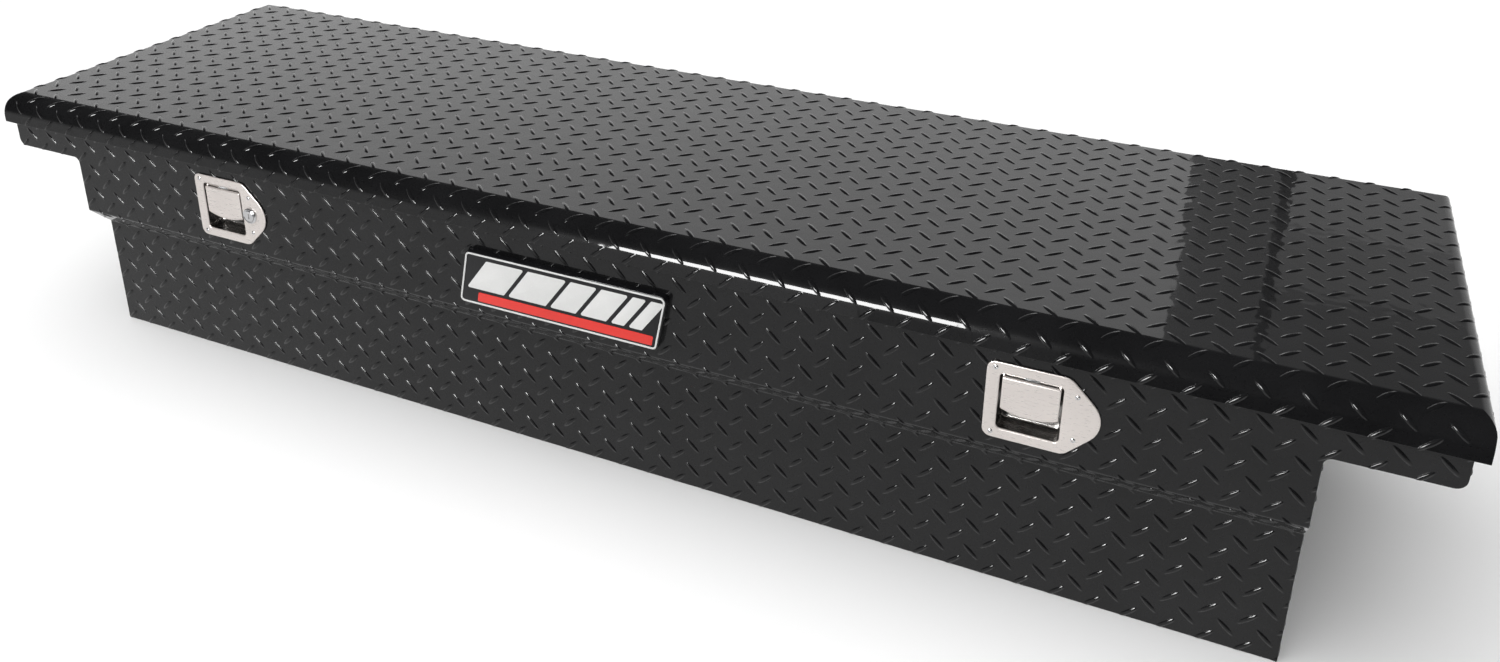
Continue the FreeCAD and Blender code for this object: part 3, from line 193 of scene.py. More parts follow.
def inside(points, loops):
    """Which points lie inside the loops; a loop within a loop is a hole."""
    s, t = points[:, 0], points[:, 1]
    found = np.zeros(len(points), bool)
    for loop in loops:
        for (s0, t0), (s1, t1) in zip(loop, np.roll(loop, -1, axis=0)):
            if t0 != t1:
                crosses = (t0 > t) != (t1 > t)
                found ^= crosses & (s < (s1 - s0) * (t - t0) / (t1 - t0) + s0)
    return found


def distance_to(points, line):
    """Distance from points to an open line of points."""
    nearest = np.full(len(points), 1.0)
    for start, end in zip(line, line[1:]):
        along = end - start
        share = np.clip((points - start) @ along / along.dot(along), 0, 1)
        nearest = np.minimum(nearest, np.linalg.norm(points - start - share[:, None] * along, axis=1))
    return nearest


# ---- tread pattern


class Tread:
    """The raised bars of a sheet: one slant on a lattice, and the other slant half a pitch on."""

    def __init__(self, pitch, origin, covered=()):
        self.pitch = np.array(pitch)
        self.origin = np.array(origin)
        self.covered = covered
        self.rings = [self.ring(level, count) for level, count in BAR_RINGS]
        self.ridge = np.array([(share * BAR_HALF_LENGTH, 0.0) for share in BAR_RIDGE])
        self.kept = set()

    def turn(self, kind):
        """Rotation of a bar's own frame; kind 0 leans right, and kind 1 leans left."""
        c = math.cos(math.radians(BAR_ANGLE))
        s = math.sin(math.radians(BAR_ANGLE)) * (1 - 2 * kind)
        return np.array(((c, s), (-s, c)))

    def ring(self, level, count):
        """A bar's contour at a level, in its own (along, across) frame. The lowest is out on the flat."""
        reach = math.sqrt(1 - level ** (1 / BAR_TAPER))
        angles = np.arange(count) * 2 * math.pi / count
        along = reach * np.cos(angles)
        across = np.sqrt(np.maximum((1 - along ** 2) ** BAR_TAPER - level, 0))
        across *= np.sign(np.round(np.sin(angles), 9))
        grow = 1 if level else BAR_MARGIN
        return np.stack([along * BAR_HALF_LENGTH, across * BAR_HALF_WIDTH], axis=1) * grow

    def bars(self, outline, fold):
        """Every bar that is neither wholly covered nor on a seam, as flat contours and ridge points."""
        first = np.floor((outline.min(axis=0) - self.origin) / self.pitch).astype(int) - 1
        last = np.ceil((outline.max(axis=0) - self.origin) / self.pitch).astype(int) + 1
        columns, rows = np.meshgrid(np.arange(first[0], last[0]), np.arange(first[1], last[1]))
        cells = np.stack([columns.ravel(), rows.ravel()], axis=1)
        for kind in (0, 1):
            turn = self.turn(kind)
            middles = self.origin + self.pitch * (cells + 0.5 * kind)
            around = (middles[:, None] + self.rings[0] @ turn).reshape(-1, 2)
            each = (len(cells), -1)
            kept = inside(around, [outline]).reshape(each).any(axis=1)
            for loop in self.covered:
                kept &= ~inside(around, [loop]).reshape(each).all(axis=1)
            kept &= ~fold.on_seam(around, outline).reshape(each).any(axis=1)
            for cell, middle in zip(cells[kept].tolist(), middles[kept]):
                self.kept.add((kind, *cell))
                yield [ring @ turn + middle for ring in self.rings], self.ridge @ turn + middle

    def level(self, points):
        """How far some points are up a bar: 0 on the flat and 1 on its ridge."""
        found = np.zeros(len(points))
        for kind in (0, 1):
            offset = (points - self.origin) / self.pitch - 0.5 * kind
            nearest = np.round(offset).astype(int)
            local = ((offset - nearest) * self.pitch) @ self.turn(kind).T
            along = np.clip(local[:, 0] / BAR_HALF_LENGTH, -1, 1)
            across = local[:, 1] / BAR_HALF_WIDTH
            level = np.maximum((1 - along ** 2) ** BAR_TAPER - across ** 2, 0)
            on_bar = level > 0
            on_bar[on_bar] = [(kind, *cell) in self.kept for cell in nearest[on_bar].tolist()]
            found += on_bar * level
        return found

    def height(self, points):
        """Height of the bars at some points."""
        full = 1 - (1 - self.level(points)) ** BAR_CROWN
        return BAR_HEIGHT * (1 + BAR_FOOT) * full ** 2 / (full + BAR_FOOT)


# ---- folds


class Profile:
    """A line in a plane, of runs (length,) and bends (radius, turn in degrees); a left turn is positive."""

    def __init__(self, start, heading, steps):
        self.pieces = []
        here, angle, length = np.array(start, float), math.radians(heading), 0.0
        for step in steps:
            turn = math.radians(step[1]) if len(step) == 2 else 0.0
            size = step[0] * abs(turn) if turn else step[0]
            curve = math.copysign(1 / step[0], turn) if turn else 0.0
            self.pieces.append((length, size, here, angle, curve))
            here = here + self.travel(angle, curve, np.array([size]))[0]
            angle += turn
            length += size
        self.length = length

    @staticmethod
    def travel(angle, curve, run):
        """How far a run along a piece goes."""
        if not curve:
            return run[:, None] * np.array((math.cos(angle), math.sin(angle)))
        end = angle + run * curve
        return np.stack([np.sin(end) - math.sin(angle), math.cos(angle) - np.cos(end)], axis=1) / curve

    def place(self, t):
        """Points along the line, with the directions ahead of them and to their left."""
        points = np.zeros((len(t), 2))
        angles = np.zeros(len(t))
        for number, (start, _, origin, angle, curve) in enumerate(self.pieces):
            here = (t >= start) if number else np.ones(len(t), bool)
            points[here] = origin + self.travel(angle, curve, t[here] - start)
            angles[here] = angle + (t[here] - start) * curve
        c, s = np.cos(angles), np.sin(angles)
        return points, np.stack([c, s], axis=1), np.stack([-s, c], axis=1)

    def bend_places(self, step=9):
        """Where rows of points are needed: the ends of the bends, and every few degrees within them."""
        places = []
        for start, size, _, _, curve in self.pieces:
            if curve:
                count = max(2, round(math.degrees(size * abs(curve)) / step))
                places += [start + size * number / count for number in range(count + 1)]
        return places


class Fold:
    """Folds a flat sheet along a profile, which lies in a plane given by two directions."""

    def __init__(self, profile, along=(1, 0, 0), plane=((0, 1, 0), (0, 0, 1))):
        self.profile = profile
        self.along = np.array(along, float)
        self.plane = np.array(plane, float)

    def place(self, points):
        """Positions of flat points, with their sideways, onward and outward directions."""
        spots, ahead, left = self.profile.place(points[:, 1])
        sideways = np.repeat(self.along[None], len(points), axis=0)
        base = spots @ self.plane + points[:, :1] * self.along
        return base, sideways, ahead @ self.plane, left @ self.plane

    def lines(self, outline):
        """The bends' rows of points, right across the sheet and a little beyond."""
        low, high = outline[:, 0].min() - MM, outline[:, 0].max() + MM
        return [np.array(((low, t), (high, t))) for t in self.profile.bend_places()]

    def on_seam(self, points, outline):
        """Which flat points are too close to a seam for a bar."""
        return np.zeros(len(points), bool)

    def seam(self, points):
        """Numbers of the points on seams, and the points under them on the sheet's inside."""
        return np.zeros(len(points), int), np.zeros((len(points), 3))


def bend_reach(radius, depth):
    """Arc length and sideways reach, at a depth, of a sheet that bends down and then runs straight down."""
    if depth < radius:
        angle = math.acos(1 - depth / radius)
        return radius * angle, radius * math.sin(angle)
    return radius * math.pi / 2 + depth - radius, radius


class LidFold(Fold):
    """The lid: rolled down at the front, bent down at the back and both ends, and mitred where they meet."""

    corners = ((1, -1), (1, 1), (-1, 1), (-1, -1))

    def __init__(self, low, high):
        self.low, self.high = low, high
        skirt = high.z - low.z
        flat = high.y - low.y - ROLL_RADIUS - BEND_RADIUS
        back = [(BEND_RADIUS, -90), (skirt - BEND_RADIUS,)]
        steps = [(skirt - ROLL_RADIUS,), (ROLL_RADIUS, -90), (flat,), *back]
        super().__init__(Profile((low.y, low.z), 90, steps))
        self.flat_x = high.x - BEND_RADIUS
        self.side = Profile((self.flat_x, high.z), 0, back)
        self.flat_t = (self.profile.pieces[2][0], self.profile.pieces[3][0])
        self.flat_y = (low.y + ROLL_RADIUS, high.y - BEND_RADIUS)
        turns = {(ROLL_RADIUS, angle) for angle in range(0, 91, 9)}
        turns |= {(BEND_RADIUS, angle) for angle in range(15, 91, 15)}
        self.depths = sorted(radius * (1 - math.cos(math.radians(angle))) for radius, angle in turns)
        self.depths.append(skirt - EDGE_ROUND)

    def corner(self, column, row):
        """One corner's mitre from its tip down, by its signs along s and t.

        Gives flat points on the long flap, on the end flap, and under them on the sheet's inside.
        """
        radius = ROLL_RADIUS if row < 0 else BEND_RADIUS
        flat_t, flat_y = self.flat_t[row > 0], self.flat_y[row > 0]
        shrink = (radius - GAUGE) / radius
        long_flap, end_flap, under = [], [], []
        for depth in self.depths:
            arc, reach = bend_reach(radius, depth)
            side_arc, side_reach = bend_reach(BEND_RADIUS, depth)
            long_flap.append((column * (self.flat_x + side_reach), flat_t + row * arc))
            end_flap.append((column * (self.flat_x + side_arc), flat_t + row * reach))
            under_depth = depth * shrink if depth < radius else depth - GAUGE
            under_x = column * (self.flat_x + bend_reach(BEND_RADIUS - GAUGE, under_depth)[1])
            under.append((under_x, flat_y + row * reach * shrink, self.high.z - GAUGE - under_depth))
        return np.array(long_flap), np.array(end_flap), np.array(under)

    def outline(self):
        """The flat blank: a cross with its four corners cut out along the mitres."""
        points = []
        for number, signs in enumerate(self.corners):
            long_flap, end_flap, _ = self.corner(*signs)
            first, second = (end_flap, long_flap) if number % 2 else (long_flap, end_flap)
            points += [*first[::-1], *second[1:]]
        return np.array(points)

    def lines(self, outline):
        """Rows across the roll and the back bend, and lines along both end bends."""
        found = []
        for flap, sign in ((0, -1), (0, 1), (1, -1), (1, 1)):
            deepest = 1.001 * (ROLL_RADIUS if (flap, sign) == (0, -1) else BEND_RADIUS)
            ends = [self.corner(*((other, sign), (sign, other))[flap])[flap] for other in (-1, 1)]
            found += [np.array(line) for *line, depth in zip(*ends, self.depths) if depth < deepest]
        return found

    def on_end_flap(self, points):
        """Which flat points belong to an end flap."""
        reach = np.abs(points[:, 0]) - self.flat_x
        for row, radius in ((-1, ROLL_RADIUS), (1, BEND_RADIUS)):
            beyond = row * (points[:, 1] - self.flat_t[row > 0])
            rolled = beyond > 0
            angle = np.clip(beyond[rolled] / radius, 0, math.pi / 2)
            depth = np.minimum(radius * (1 - np.cos(angle)), BEND_RADIUS)
            edge = np.sqrt(np.maximum(BEND_RADIUS ** 2 - (BEND_RADIUS - depth) ** 2, 0))
            reach[rolled] -= edge + 1e-6
        return reach > 0

    def place(self, points):
        """Positions of flat points, with their sideways, onward and outward directions."""
        base, sideways, onward, outward = super().place(points)
        end = self.on_end_flap(points)
        sign = np.sign(points[end, 0])
        spots, ahead, left = self.side.place(np.abs(points[end, 0]) - self.flat_x)
        y = self.flat_y[0] + points[end, 1] - self.flat_t[0]
        base[end] = np.stack([sign * spots[:, 0], y, spots[:, 1]], axis=1)
        sideways[end] = np.stack([ahead[:, 0], 0 * y, sign * ahead[:, 1]], axis=1)
        onward[end] = (0, 1, 0)
        outward[end] = np.stack([sign * left[:, 0], 0 * y, left[:, 1]], axis=1)
        lip = ~end & (points[:, 1] < self.flat_t[0])
        outward[lip, 2] = np.maximum(outward[lip, 2], math.tan(LIP_LEAN))
        outward[lip] /= np.linalg.norm(outward[lip], axis=1)[:, None]
        return base, sideways, onward, outward

    def on_seam(self, points, outline):
        """Which flat points are too close to a mitre, or beyond it, for a bar."""
        found = np.zeros(len(points), bool)
        for signs in self.corners:
            long_flap, end_flap, _ = self.corner(*signs)
            away = points - long_flap[0]
            found |= (away * signs > 0).all(axis=1) & ~inside(points, [outline])
            close = np.abs(away).max(axis=1) < SEAM_REACH
            for line in (long_flap, end_flap):
                found[close] |= distance_to(points[close], line) < SEAM_CLEARANCE
        return found

    def seam(self, points):
        """Numbers of the points on the mitres, and the points under them on the sheet's inside."""
        numbers = np.zeros(len(points), int)
        under = np.zeros((len(points), 3))
        for number, signs in enumerate(self.corners, start=1):
            long_flap, end_flap, inner = self.corner(*signs)
            for spot, inner_spot in zip([*long_flap, *end_flap], [*inner, *inner]):
                gaps = np.linalg.norm(points - spot, axis=1)
                nearest = gaps.argmin()
                if gaps[nearest] < WELD_GAP:
                    numbers[nearest] = number
                    under[nearest] = inner_spot
        return numbers, under


# ---- sheets


def triangulate(loops, lines, extra=()):
    """Points and triangles of a flat sheet between its loops, and which given points each one stands for."""
    points, edges = [], []

    def add(line, closed):
        first = len(points)
        points.extend(line)
        last = len(points) - 1
        edges.extend((n, n + 1) for n in range(first, last))
        if closed:
            edges.append((last, first))

    for loop in loops:
        add(loop, True)
    for line in lines:
        add(line, False)
    for rings, ridge in extra:
        for ring in rings:
            add(ring, True)
        add(ridge, False)
    flat = [Vector((s, t)) for s, t in (np.array(points) / MM).tolist()]
    result = delaunay_2d_cdt(flat, edges, [], 0, 1e-3, True)
    spots = np.array([(point.x, point.y) for point in result[0]]) * MM
    triangles = np.array(result[2], int)
    triangles = triangles[inside(spots[triangles].mean(axis=1), loops)]
    used, renumbered = np.unique(triangles, return_inverse=True)
    return spots[used], renumbered.reshape(-1, 3), [result[3][n] for n in used]


def border(triangles):
    """The boundary loops of a triangulated sheet, as point numbers with the sheet on their left."""
    pairs = np.concatenate([triangles[:, [0, 1]], triangles[:, [1, 2]], triangles[:, [2, 0]]])
    known = set(map(tuple, pairs.tolist()))
    onward = {a: b for a, b in known if (b, a) not in known}
    loops = []
    while onward:
        start = min(onward)
        loop = [start]
        here = onward.pop(start)
        while here != start:
            loop.append(here)
            here = onward.pop(here)
        loops.append(np.array(loop))
    return loops


def outward_steps(spots, loop, seams):
    """Flat outward steps at a boundary loop's points, and which of its edges are seams, which don't count."""
    numbers = seams[loop]
    ahead = np.roll(spots[loop], -1, axis=0) - spots[loop]
    ahead /= np.linalg.norm(ahead, axis=1)[:, None]
    right = np.stack([ahead[:, 1], -ahead[:, 0]], axis=1)
    on_seam = (numbers > 0) & (numbers == np.roll(numbers, -1))
    right[on_seam] = 0
    step = right + np.roll(right, 1, axis=0)
    free = ~(on_seam | np.roll(on_seam, 1))
    step[free] *= (2 / np.maximum((step[free] ** 2).sum(axis=1), 0.5))[:, None]
    return step, on_seam


def edge_section():
    """A sheet edge's rounded section from outside to inside, as (share of the step outwards, depth)."""
    upper = [(math.sin(angle), EDGE_ROUND * (1 - math.cos(angle))) for angle in np.radians((30, 60, 90))]
    return upper + [(share, GAUGE - depth) for share, depth in upper[::-1]] + [(0.0, GAUGE)]


def welded(points, candidates):
    """Which point each point becomes when candidates that share a place are joined."""
    alias = np.arange(len(points))
    spots = points[candidates]
    for n, candidate in enumerate(candidates):
        gaps = np.linalg.norm(spots[:n] - points[candidate], axis=1)
        if n and gaps.min() < WELD_GAP:
            alias[candidate] = alias[candidates[gaps.argmin()]]
    return alias


def tread_sheet(name, body, replaced, loops, fold, tread):
    """A folded sheet with raised bars outside, a smooth inside and rounded edges, as one closed mesh."""
    lines = fold.lines(loops[0])
    spots, triangles, _ = triangulate(loops, lines, tread.bars(loops[0], fold))
    height = tread.height
    steps = np.eye(2) * SLOPE_STEP
    slope = [(height(spots + step) - height(spots - step)) / (2 * SLOPE_STEP) for step in steps]
    base, sideways, onward, outward = fold.place(spots)
    facing = outward - slope[0][:, None] * sideways - slope[1][:, None] * onward
    seams, under = fold.seam(spots)
    through = np.where(seams[:, None] > 0, (base - under) / GAUGE, outward)
    points = [base + height(spots)[:, None] * outward]
    normals = [facing]
    faces = triangles.tolist()
    candidates = np.nonzero(seams)[0].tolist()
    total = len(spots)
    flat_loops, foot = [], []
    for loop in border(triangles):
        step, on_seam = outward_steps(spots, loop, seams)
        step = step[:, :1] * sideways[loop] + step[:, 1:] * onward[loop]
        previous = loop
        count = len(loop)
        for share, depth in edge_section():
            rise = math.sqrt(max(1 - share ** 2, 0)) * (1 if depth < GAUGE / 2 else -1)
            points.append(base[loop] + share * EDGE_ROUND * step - depth * through[loop])
            normals.append(share * step + (rise + 1e-3) * outward[loop])
            current = total + np.arange(count)
            total += count
            for n in np.nonzero(~on_seam)[0]:
                m = (n + 1) % count
                faces.append([previous[m], previous[n], current[n], current[m]])
            candidates += current[seams[loop] > 0].tolist()
            previous = current
        flat_loops.append(spots[loop])
        foot += previous.tolist()
    inner_spots, inner_triangles, sources = triangulate(flat_loops, lines)
    numbers, added = [], []
    for n, inputs in enumerate(sources):
        known = [foot[number] for number in inputs if number < len(foot)]
        if not known:
            added.append(n)
        numbers.append(known[0] if known else total + len(added) - 1)
    inner_base, _, _, inner_outward = fold.place(inner_spots)
    points.append(inner_base[added] - GAUGE * inner_outward[added])
    normals.append(-inner_outward[added])
    faces += np.array(numbers)[inner_triangles[:, ::-1]].tolist()
    points, normals = np.concatenate(points), np.concatenate(normals)
    alias = welded(points, candidates)
    add_piece(name, mesh_with_normals(name, points, normals, faces, alias), body, "powder_coat", replaced)


def mesh_with_normals(name, points, normals, faces, alias):
    """A mesh that keeps the given normals at each face's corners. Joined points become one."""
    mesh_faces, corner_normals = [], []
    for face in faces:
        corners = alias[face]
        chosen = [k for k in range(len(face)) if corners[k] != corners[k - 1]]
        if len(chosen) > 2:
            mesh_faces.append(corners[chosen])
            corner_normals += [normals[face[k]] for k in chosen]
    used = np.unique(np.concatenate(mesh_faces))
    new = np.full(len(points), -1)
    new[used] = np.arange(len(used))
    corner_normals = np.array(corner_normals)
    corner_normals /= np.linalg.norm(corner_normals, axis=1)[:, None]
    mesh = bpy.data.meshes.new(name)
    mesh.from_pydata(points[used].tolist(), [], [new[face].tolist() for face in mesh_faces])
    mesh.polygons.foreach_set("use_smooth", np.ones(len(mesh.polygons), bool))
    mesh.normals_split_custom_set(corner_normals.tolist())
    return mesh


def add_piece(name, mesh, body, slot, replaced="", material=None):
    """Puts a mesh in the scene on a CAD body, in its slot's own material unless another is given."""
    mesh.update()
    mesh.materials.append(material or MATERIALS[slot])
    piece = bpy.data.objects.new(name, mesh)
    bpy.context.scene.collection.objects.link(piece)
    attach(piece, body)
    if replaced:
        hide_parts(replaced)
    return piece


# ---- lofts


class Shell:
    """A mesh gathered from loops of points."""

    def __init__(self):
        self.points = []
        self.faces = []

    def loop(self, points):
        """Adds a loop of points and gives their numbers."""
        first = len(self.points)
        self.points.extend(np.array(points, float).tolist())
        return list(range(first, len(self.points)))

    def stack(self, steps):
        """Adds upright loops from ((x, z) loop, y) steps."""
        return [self.loop([(x, y, z) for x, z in points]) for points, y in steps]

    def loft(self, loops):
        """Joins each loop to the one after it."""
        for lower, upper in zip(loops, loops[1:]):
            for n in range(len(lower)):
                m = (n + 1) % len(lower)
                self.faces.append((lower[n], lower[m], upper[m], upper[n]))

    def fill(self, *loops):
        """Fills the flat area inside a loop, or between loops."""
        numbers = [n for loop in loops for n in loop]
        corners = [[Vector(self.points[n]) for n in loop] for loop in loops]
        self.faces += [[numbers[n] for n in triangle] for triangle in tessellate_polygon(corners)]

    def ring(self, loops):
        """Joins loops, and the last one to the first."""
        self.loft([*loops, loops[0]])

    def solid(self, loops):
        """Joins loops and fills both ends."""
        self.loft(loops)
        self.fill(loops[0])
        self.fill(loops[-1])

    def piece(self, name, body, slot, replaced="", material=None, sharp=32):
        """A smooth piece, facing outwards, of what was gathered. Corners over an angle stay sharp."""
        mesh = bpy.data.meshes.new(name)
        mesh.from_pydata(self.points, [], self.faces)
        cleaned = bmesh.new()
        cleaned.from_mesh(mesh)
        bmesh.ops.remove_doubles(cleaned, verts=cleaned.verts, dist=0.002 * MM)
        bmesh.ops.recalc_face_normals(cleaned, faces=cleaned.faces)
        cleaned.to_mesh(mesh)
        cleaned.free()
        mesh.polygons.foreach_set("use_smooth", np.ones(len(mesh.polygons), bool))
        mesh.set_sharp_from_angle(angle=math.radians(sharp))
        return add_piece(name, mesh, body, slot, replaced, material)


def outline_steps(corners, section, front, segments=8):
    """Steps for Shell.stack along a section, whose (inset, depth behind the front) are in millimetres."""
    return [(rounded_loop(corners, inset * MM, segments), front + depth * MM) for inset, depth in section]


def turned_steps(centre, section, front, count):
    """The same round an axis along Y, from a section's (radius, depth behind the front) in millimetres."""
    return [(ring_loop(centre, radius * MM, count), front + depth * MM) for radius, depth in section]


# ---- materials


def set_inputs(node, **inputs):
    """Gives a node's inputs their values, or links them to the outputs given instead."""
    for name, value in inputs.items():
        socket = node.inputs[name.replace("_", " ")]
        if isinstance(value, bpy.types.NodeSocket):
            node.id_data.links.new(value, socket)
        else:
            socket.default_value = value


def new_node(tree, kind, output, **inputs):
    """A new node with its inputs. Gives the node and one of its outputs."""
    node = tree.nodes.new("ShaderNode" + kind)
    set_inputs(node, **inputs)
    return node, node.outputs[output]


def finish(
    name, color, roughness, grain, spread=0.15, wear=0.05, bump=0.0, stretch=(1, 1, 1), ripple=0.0, **values
):
    """A procedural finish: fine grain drives roughness and relief, and broad clouds vary the colour.

    spread and wear are how far roughness and colour vary, bump and ripple are the depths of the grain and of
    slow waves, and values are the shader's own sockets.
    """
    material = bpy.data.materials.new(name)
    material.use_nodes = True
    tree = material.node_tree
    place = new_node(tree, "TexCoord", "Object")[1]
    mapped = new_node(tree, "Mapping", "Vector", Vector=place, Scale=stretch)[1]
    fine = new_node(tree, "TexNoise", "Fac", Vector=mapped, Scale=1 / grain, Detail=3)[1]
    broad = new_node(tree, "TexNoise", "Fac", Vector=place, Scale=CLOUDS_PER_METRE, Detail=6)[1]
    span = {"From_Min": 0.3, "From_Max": 0.7}
    span.update(To_Min=roughness * (1 - spread), To_Max=roughness * (1 + spread))
    values["Roughness"] = new_node(tree, "MapRange", "Result", Value=fine, **span)[1]
    tint, values["Base_Color"] = new_node(tree, "ValToRGB", "Color", Fac=broad)
    for element, position, share in zip(tint.color_ramp.elements, (0.35, 0.68), (1 - wear, 1 + wear)):
        element.position = position
        element.color = (*[min(part * share, 1) for part in color], 1)
    relief = {"Height": fine, "Distance": bump}
    if ripple:
        waves = new_node(tree, "TexNoise", "Fac", Vector=place, Scale=1 / RIPPLE_SIZE, Detail=1)[1]
        relief["Normal"] = new_node(tree, "Bump", "Normal", Height=waves, Distance=ripple)[1]
        values["Coat_Normal"] = relief["Normal"]
    if bump:
        values["Normal"] = new_node(tree, "Bump", "Normal", **relief)[1]
    set_inputs(tree.nodes["Principled BSDF"], **values)
    return material


def glossy_coat(name, color, roughness, grain, bump, **values):
    """A clear-coated finish, such as gloss powder coat or moulded black plastic."""
    coat = {"Coat_Weight": 1.0, "Coat_Roughness": 0.03, "Coat_IOR": 1.4, "Specular_IOR_Level": 0.05}
    return finish(name, color, roughness, grain, bump=bump, wear=0.2, **coat, **values)


def metal(name, color, roughness, grain, stretch=(1, 1, 1), bump=0.0, wear=0.06):
    """Bare metal; a stretched grain makes it brushed."""
    return finish(name, color, roughness, grain, 0.3, wear, bump, stretch, Metallic=1.0)


BRUSHED = (0.05, 1, 1)
MATERIALS = {
    "powder_coat": glossy_coat(
        "gloss_black_powder_coat", (0.007, 0.007, 0.0075), 0.3, 3 * MM, 0.008 * MM, ripple=0.15 * MM
    ),
    "seal_rubber": finish("seal_rubber", (0.018, 0.018, 0.019), 0.62, 0.6 * MM, bump=0.05 * MM, wear=0.2),
    "hinge_stainless": metal("hinge_stainless", (0.66, 0.65, 0.63), 0.3, 0.7 * MM, (0.03, 1, 1), 0.01 * MM),
    "foam": finish("liner_foam", (0.62, 0.60, 0.54), 0.9, 0.9 * MM, bump=0.3 * MM, wear=0.1),
    "badge_black": glossy_coat("badge_black_plastic", (0.008, 0.008, 0.009), 0.2, 2 * MM, 0.004 * MM),
    "badge_bright": metal("badge_bright_rim", (0.80, 0.80, 0.81), 0.14, 1.2 * MM, bump=0.003 * MM),
    "lock_chrome": metal("lock_chrome", (0.82, 0.82, 0.83), 0.12, 0.9 * MM, bump=0.004 * MM),
    "zinc_steel": metal("zinc_plated_steel", (0.62, 0.63, 0.64), 0.36, 2.2 * MM, bump=0.02 * MM, wear=0.16),
    "latch_stainless": finish(
        "latch_stainless", (0.80, 0.745, 0.71), 0.3, 0.5 * MM, 0.12, 0.025, 0.003 * MM, BRUSHED, Metallic=0.6
    ),
    "black_steel": glossy_coat("strut_black_paint", (0.012, 0.012, 0.013), 0.35, 1.5 * MM, 0.01 * MM),
    "rod_chrome": metal("rod_chrome", (0.84, 0.84, 0.85), 0.08, 0.5 * MM, (1, 1, 0.1), 0.002 * MM),
}
# The drawn well's steel is much darker than the flange's stainless: painted shade in the latch recess.
WELL_PAINTED_SHADE = metal("latch_well_steel", (0.34, 0.33, 0.32), 0.24, 0.5 * MM, BRUSHED, 0.006 * MM)
PRINT = {"grain": 0.8 * MM, "bump": 0.004 * MM, "Coat_Weight": 0.6}
BADGE_WHITE = finish("badge_white_print", (0.70, 0.70, 0.69), 0.25, **PRINT)
BADGE_RED = finish("badge_red_print", (0.74, 0.018, 0.008), 0.22, **PRINT)


def dress_cad_nodes():
    """Gives every CAD node the finish of its own material slot."""
    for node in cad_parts.values():
        for number, material in enumerate(node.data.materials):
            node.data.materials[number] = MATERIALS[material.name.split(".")[0]]


# ---- outlines used by more than one piece


def flange_corners(side):
    """Corners of a latch flange on the front wall, in (x, z)."""
    left = LATCH_X * SIDES[side] - FLANGE_LEFT
    shoulder = LATCH_X * SIDES[side] + FLANGE_SHOULDER
    foot, head = LATCH_Z - FLANGE_HALF_HEIGHT, LATCH_Z + FLANGE_HALF_HEIGHT
    point = (shoulder + FLANGE_HALF_HEIGHT, LATCH_Z)
    spots = ((left, foot), (shoulder, foot), point, (shoulder, head), (left, head))
    return [(*spot, radius) for spot, radius in zip(spots, FLANGE_RADII)]


def window_corners(side, grow=0.0, radius=WINDOW_RADIUS):
    """Corners of a latch window, in (x, z), grown by a margin."""
    x = LATCH_X * SIDES[side]
    low = (x - WINDOW_HALF_WIDTH - grow, LATCH_Z - WINDOW_HALF_HEIGHT - grow)
    high = (x + WINDOW_HALF_WIDTH + grow, LATCH_Z + WINDOW_HALF_HEIGHT + grow)
    return rectangle_corners(low, high, radius)


def badge_corners():
    """Corners of the badge's slanted outline, in (x, z)."""
    low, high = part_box("badge_base")
    spots = ((low.x, low.z), (high.x - BADGE_SLANT, low.z), (high.x, high.z), (low.x + BADGE_SLANT, high.z))
    return [(*spot, BADGE_RADIUS) for spot in spots]


# ---- sheet pieces


def lid_piece():
    """The lid's outer skin, with tread bars that run on over its roll and bends."""
    fold = LidFold(*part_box("lid_skin"))
    tread = Tread(LID_PITCH, (LID_BAR_PLACE[0], fold.flat_t[0] + LID_BAR_PLACE[1]))
    tread_sheet("lid_tread", "lid", "lid_skin", [fold.outline()], fold, tread)


def wing_outline(top, height_at):
    """The front and back walls' outline in (s, t). height_at turns a height into t, and may count down."""
    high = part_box("front_panel")[1]
    wing, foot, head = height_at(WING_FLOOR_Z), height_at(0), height_at(top)
    right = [
        (TUB_HALF_LENGTH, foot, 0),
        (TUB_HALF_LENGTH, wing, NOTCH_RADIUS),
        (high.x, wing, WING_CORNER_RADIUS),
        (high.x, head, 0),
    ]
    left = [(-s, t, radius) for s, t, radius in right[::-1]]
    corners = [left.pop(), *right, *left]
    if head < foot:
        corners.reverse()
    return rounded_loop(corners, EDGE_ROUND)


def front_piece():
    """The front wall, folded at its crease and its waist, with openings for the latches and the lock."""
    low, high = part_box("front_panel")
    waist_z = CREASE_Z - WAIST_INSET
    steps = [
        (waist_z - WAIST_RADIUS * TAN_HALF_FOLD,),
        (WAIST_RADIUS, 45),
        (WAIST_INSET * math.sqrt(2) - (WAIST_RADIUS + CREASE_RADIUS) * TAN_HALF_FOLD,),
        (CREASE_RADIUS, -45),
        (high.z - CREASE_Z - CREASE_RADIUS * TAN_HALF_FOLD,),
    ]
    profile = Profile((low.y + WAIST_INSET, low.z), 90, steps)

    def height_at(z):
        return profile.length - (high.z - z) if z > CREASE_Z else z

    shift = np.array((0, profile.length - high.z))
    covered = [rounded_loop(flange_corners(side)) + shift for side in SIDES]
    covered.append(rounded_loop(badge_corners()) + shift)
    holes = [rounded_loop(window_corners(side, CUTOUT_GAP, 0)) + shift for side in SIDES]
    holes.append(ring_loop(np.array((LOCK_OFFSET - LATCH_X, LATCH_Z)) + shift, LOCK_HOLE_RADIUS, 32))
    x, z = FRONT_BAR_PLACE
    tread = Tread(WALL_PITCH, (x - WALL_PITCH[0] / 2, height_at(z) - WALL_PITCH[1] / 2), covered)
    loops = [wing_outline(high.z, height_at), *holes]
    tread_sheet("front_tread", "tub", "front_panel", loops, Fold(profile), tread)


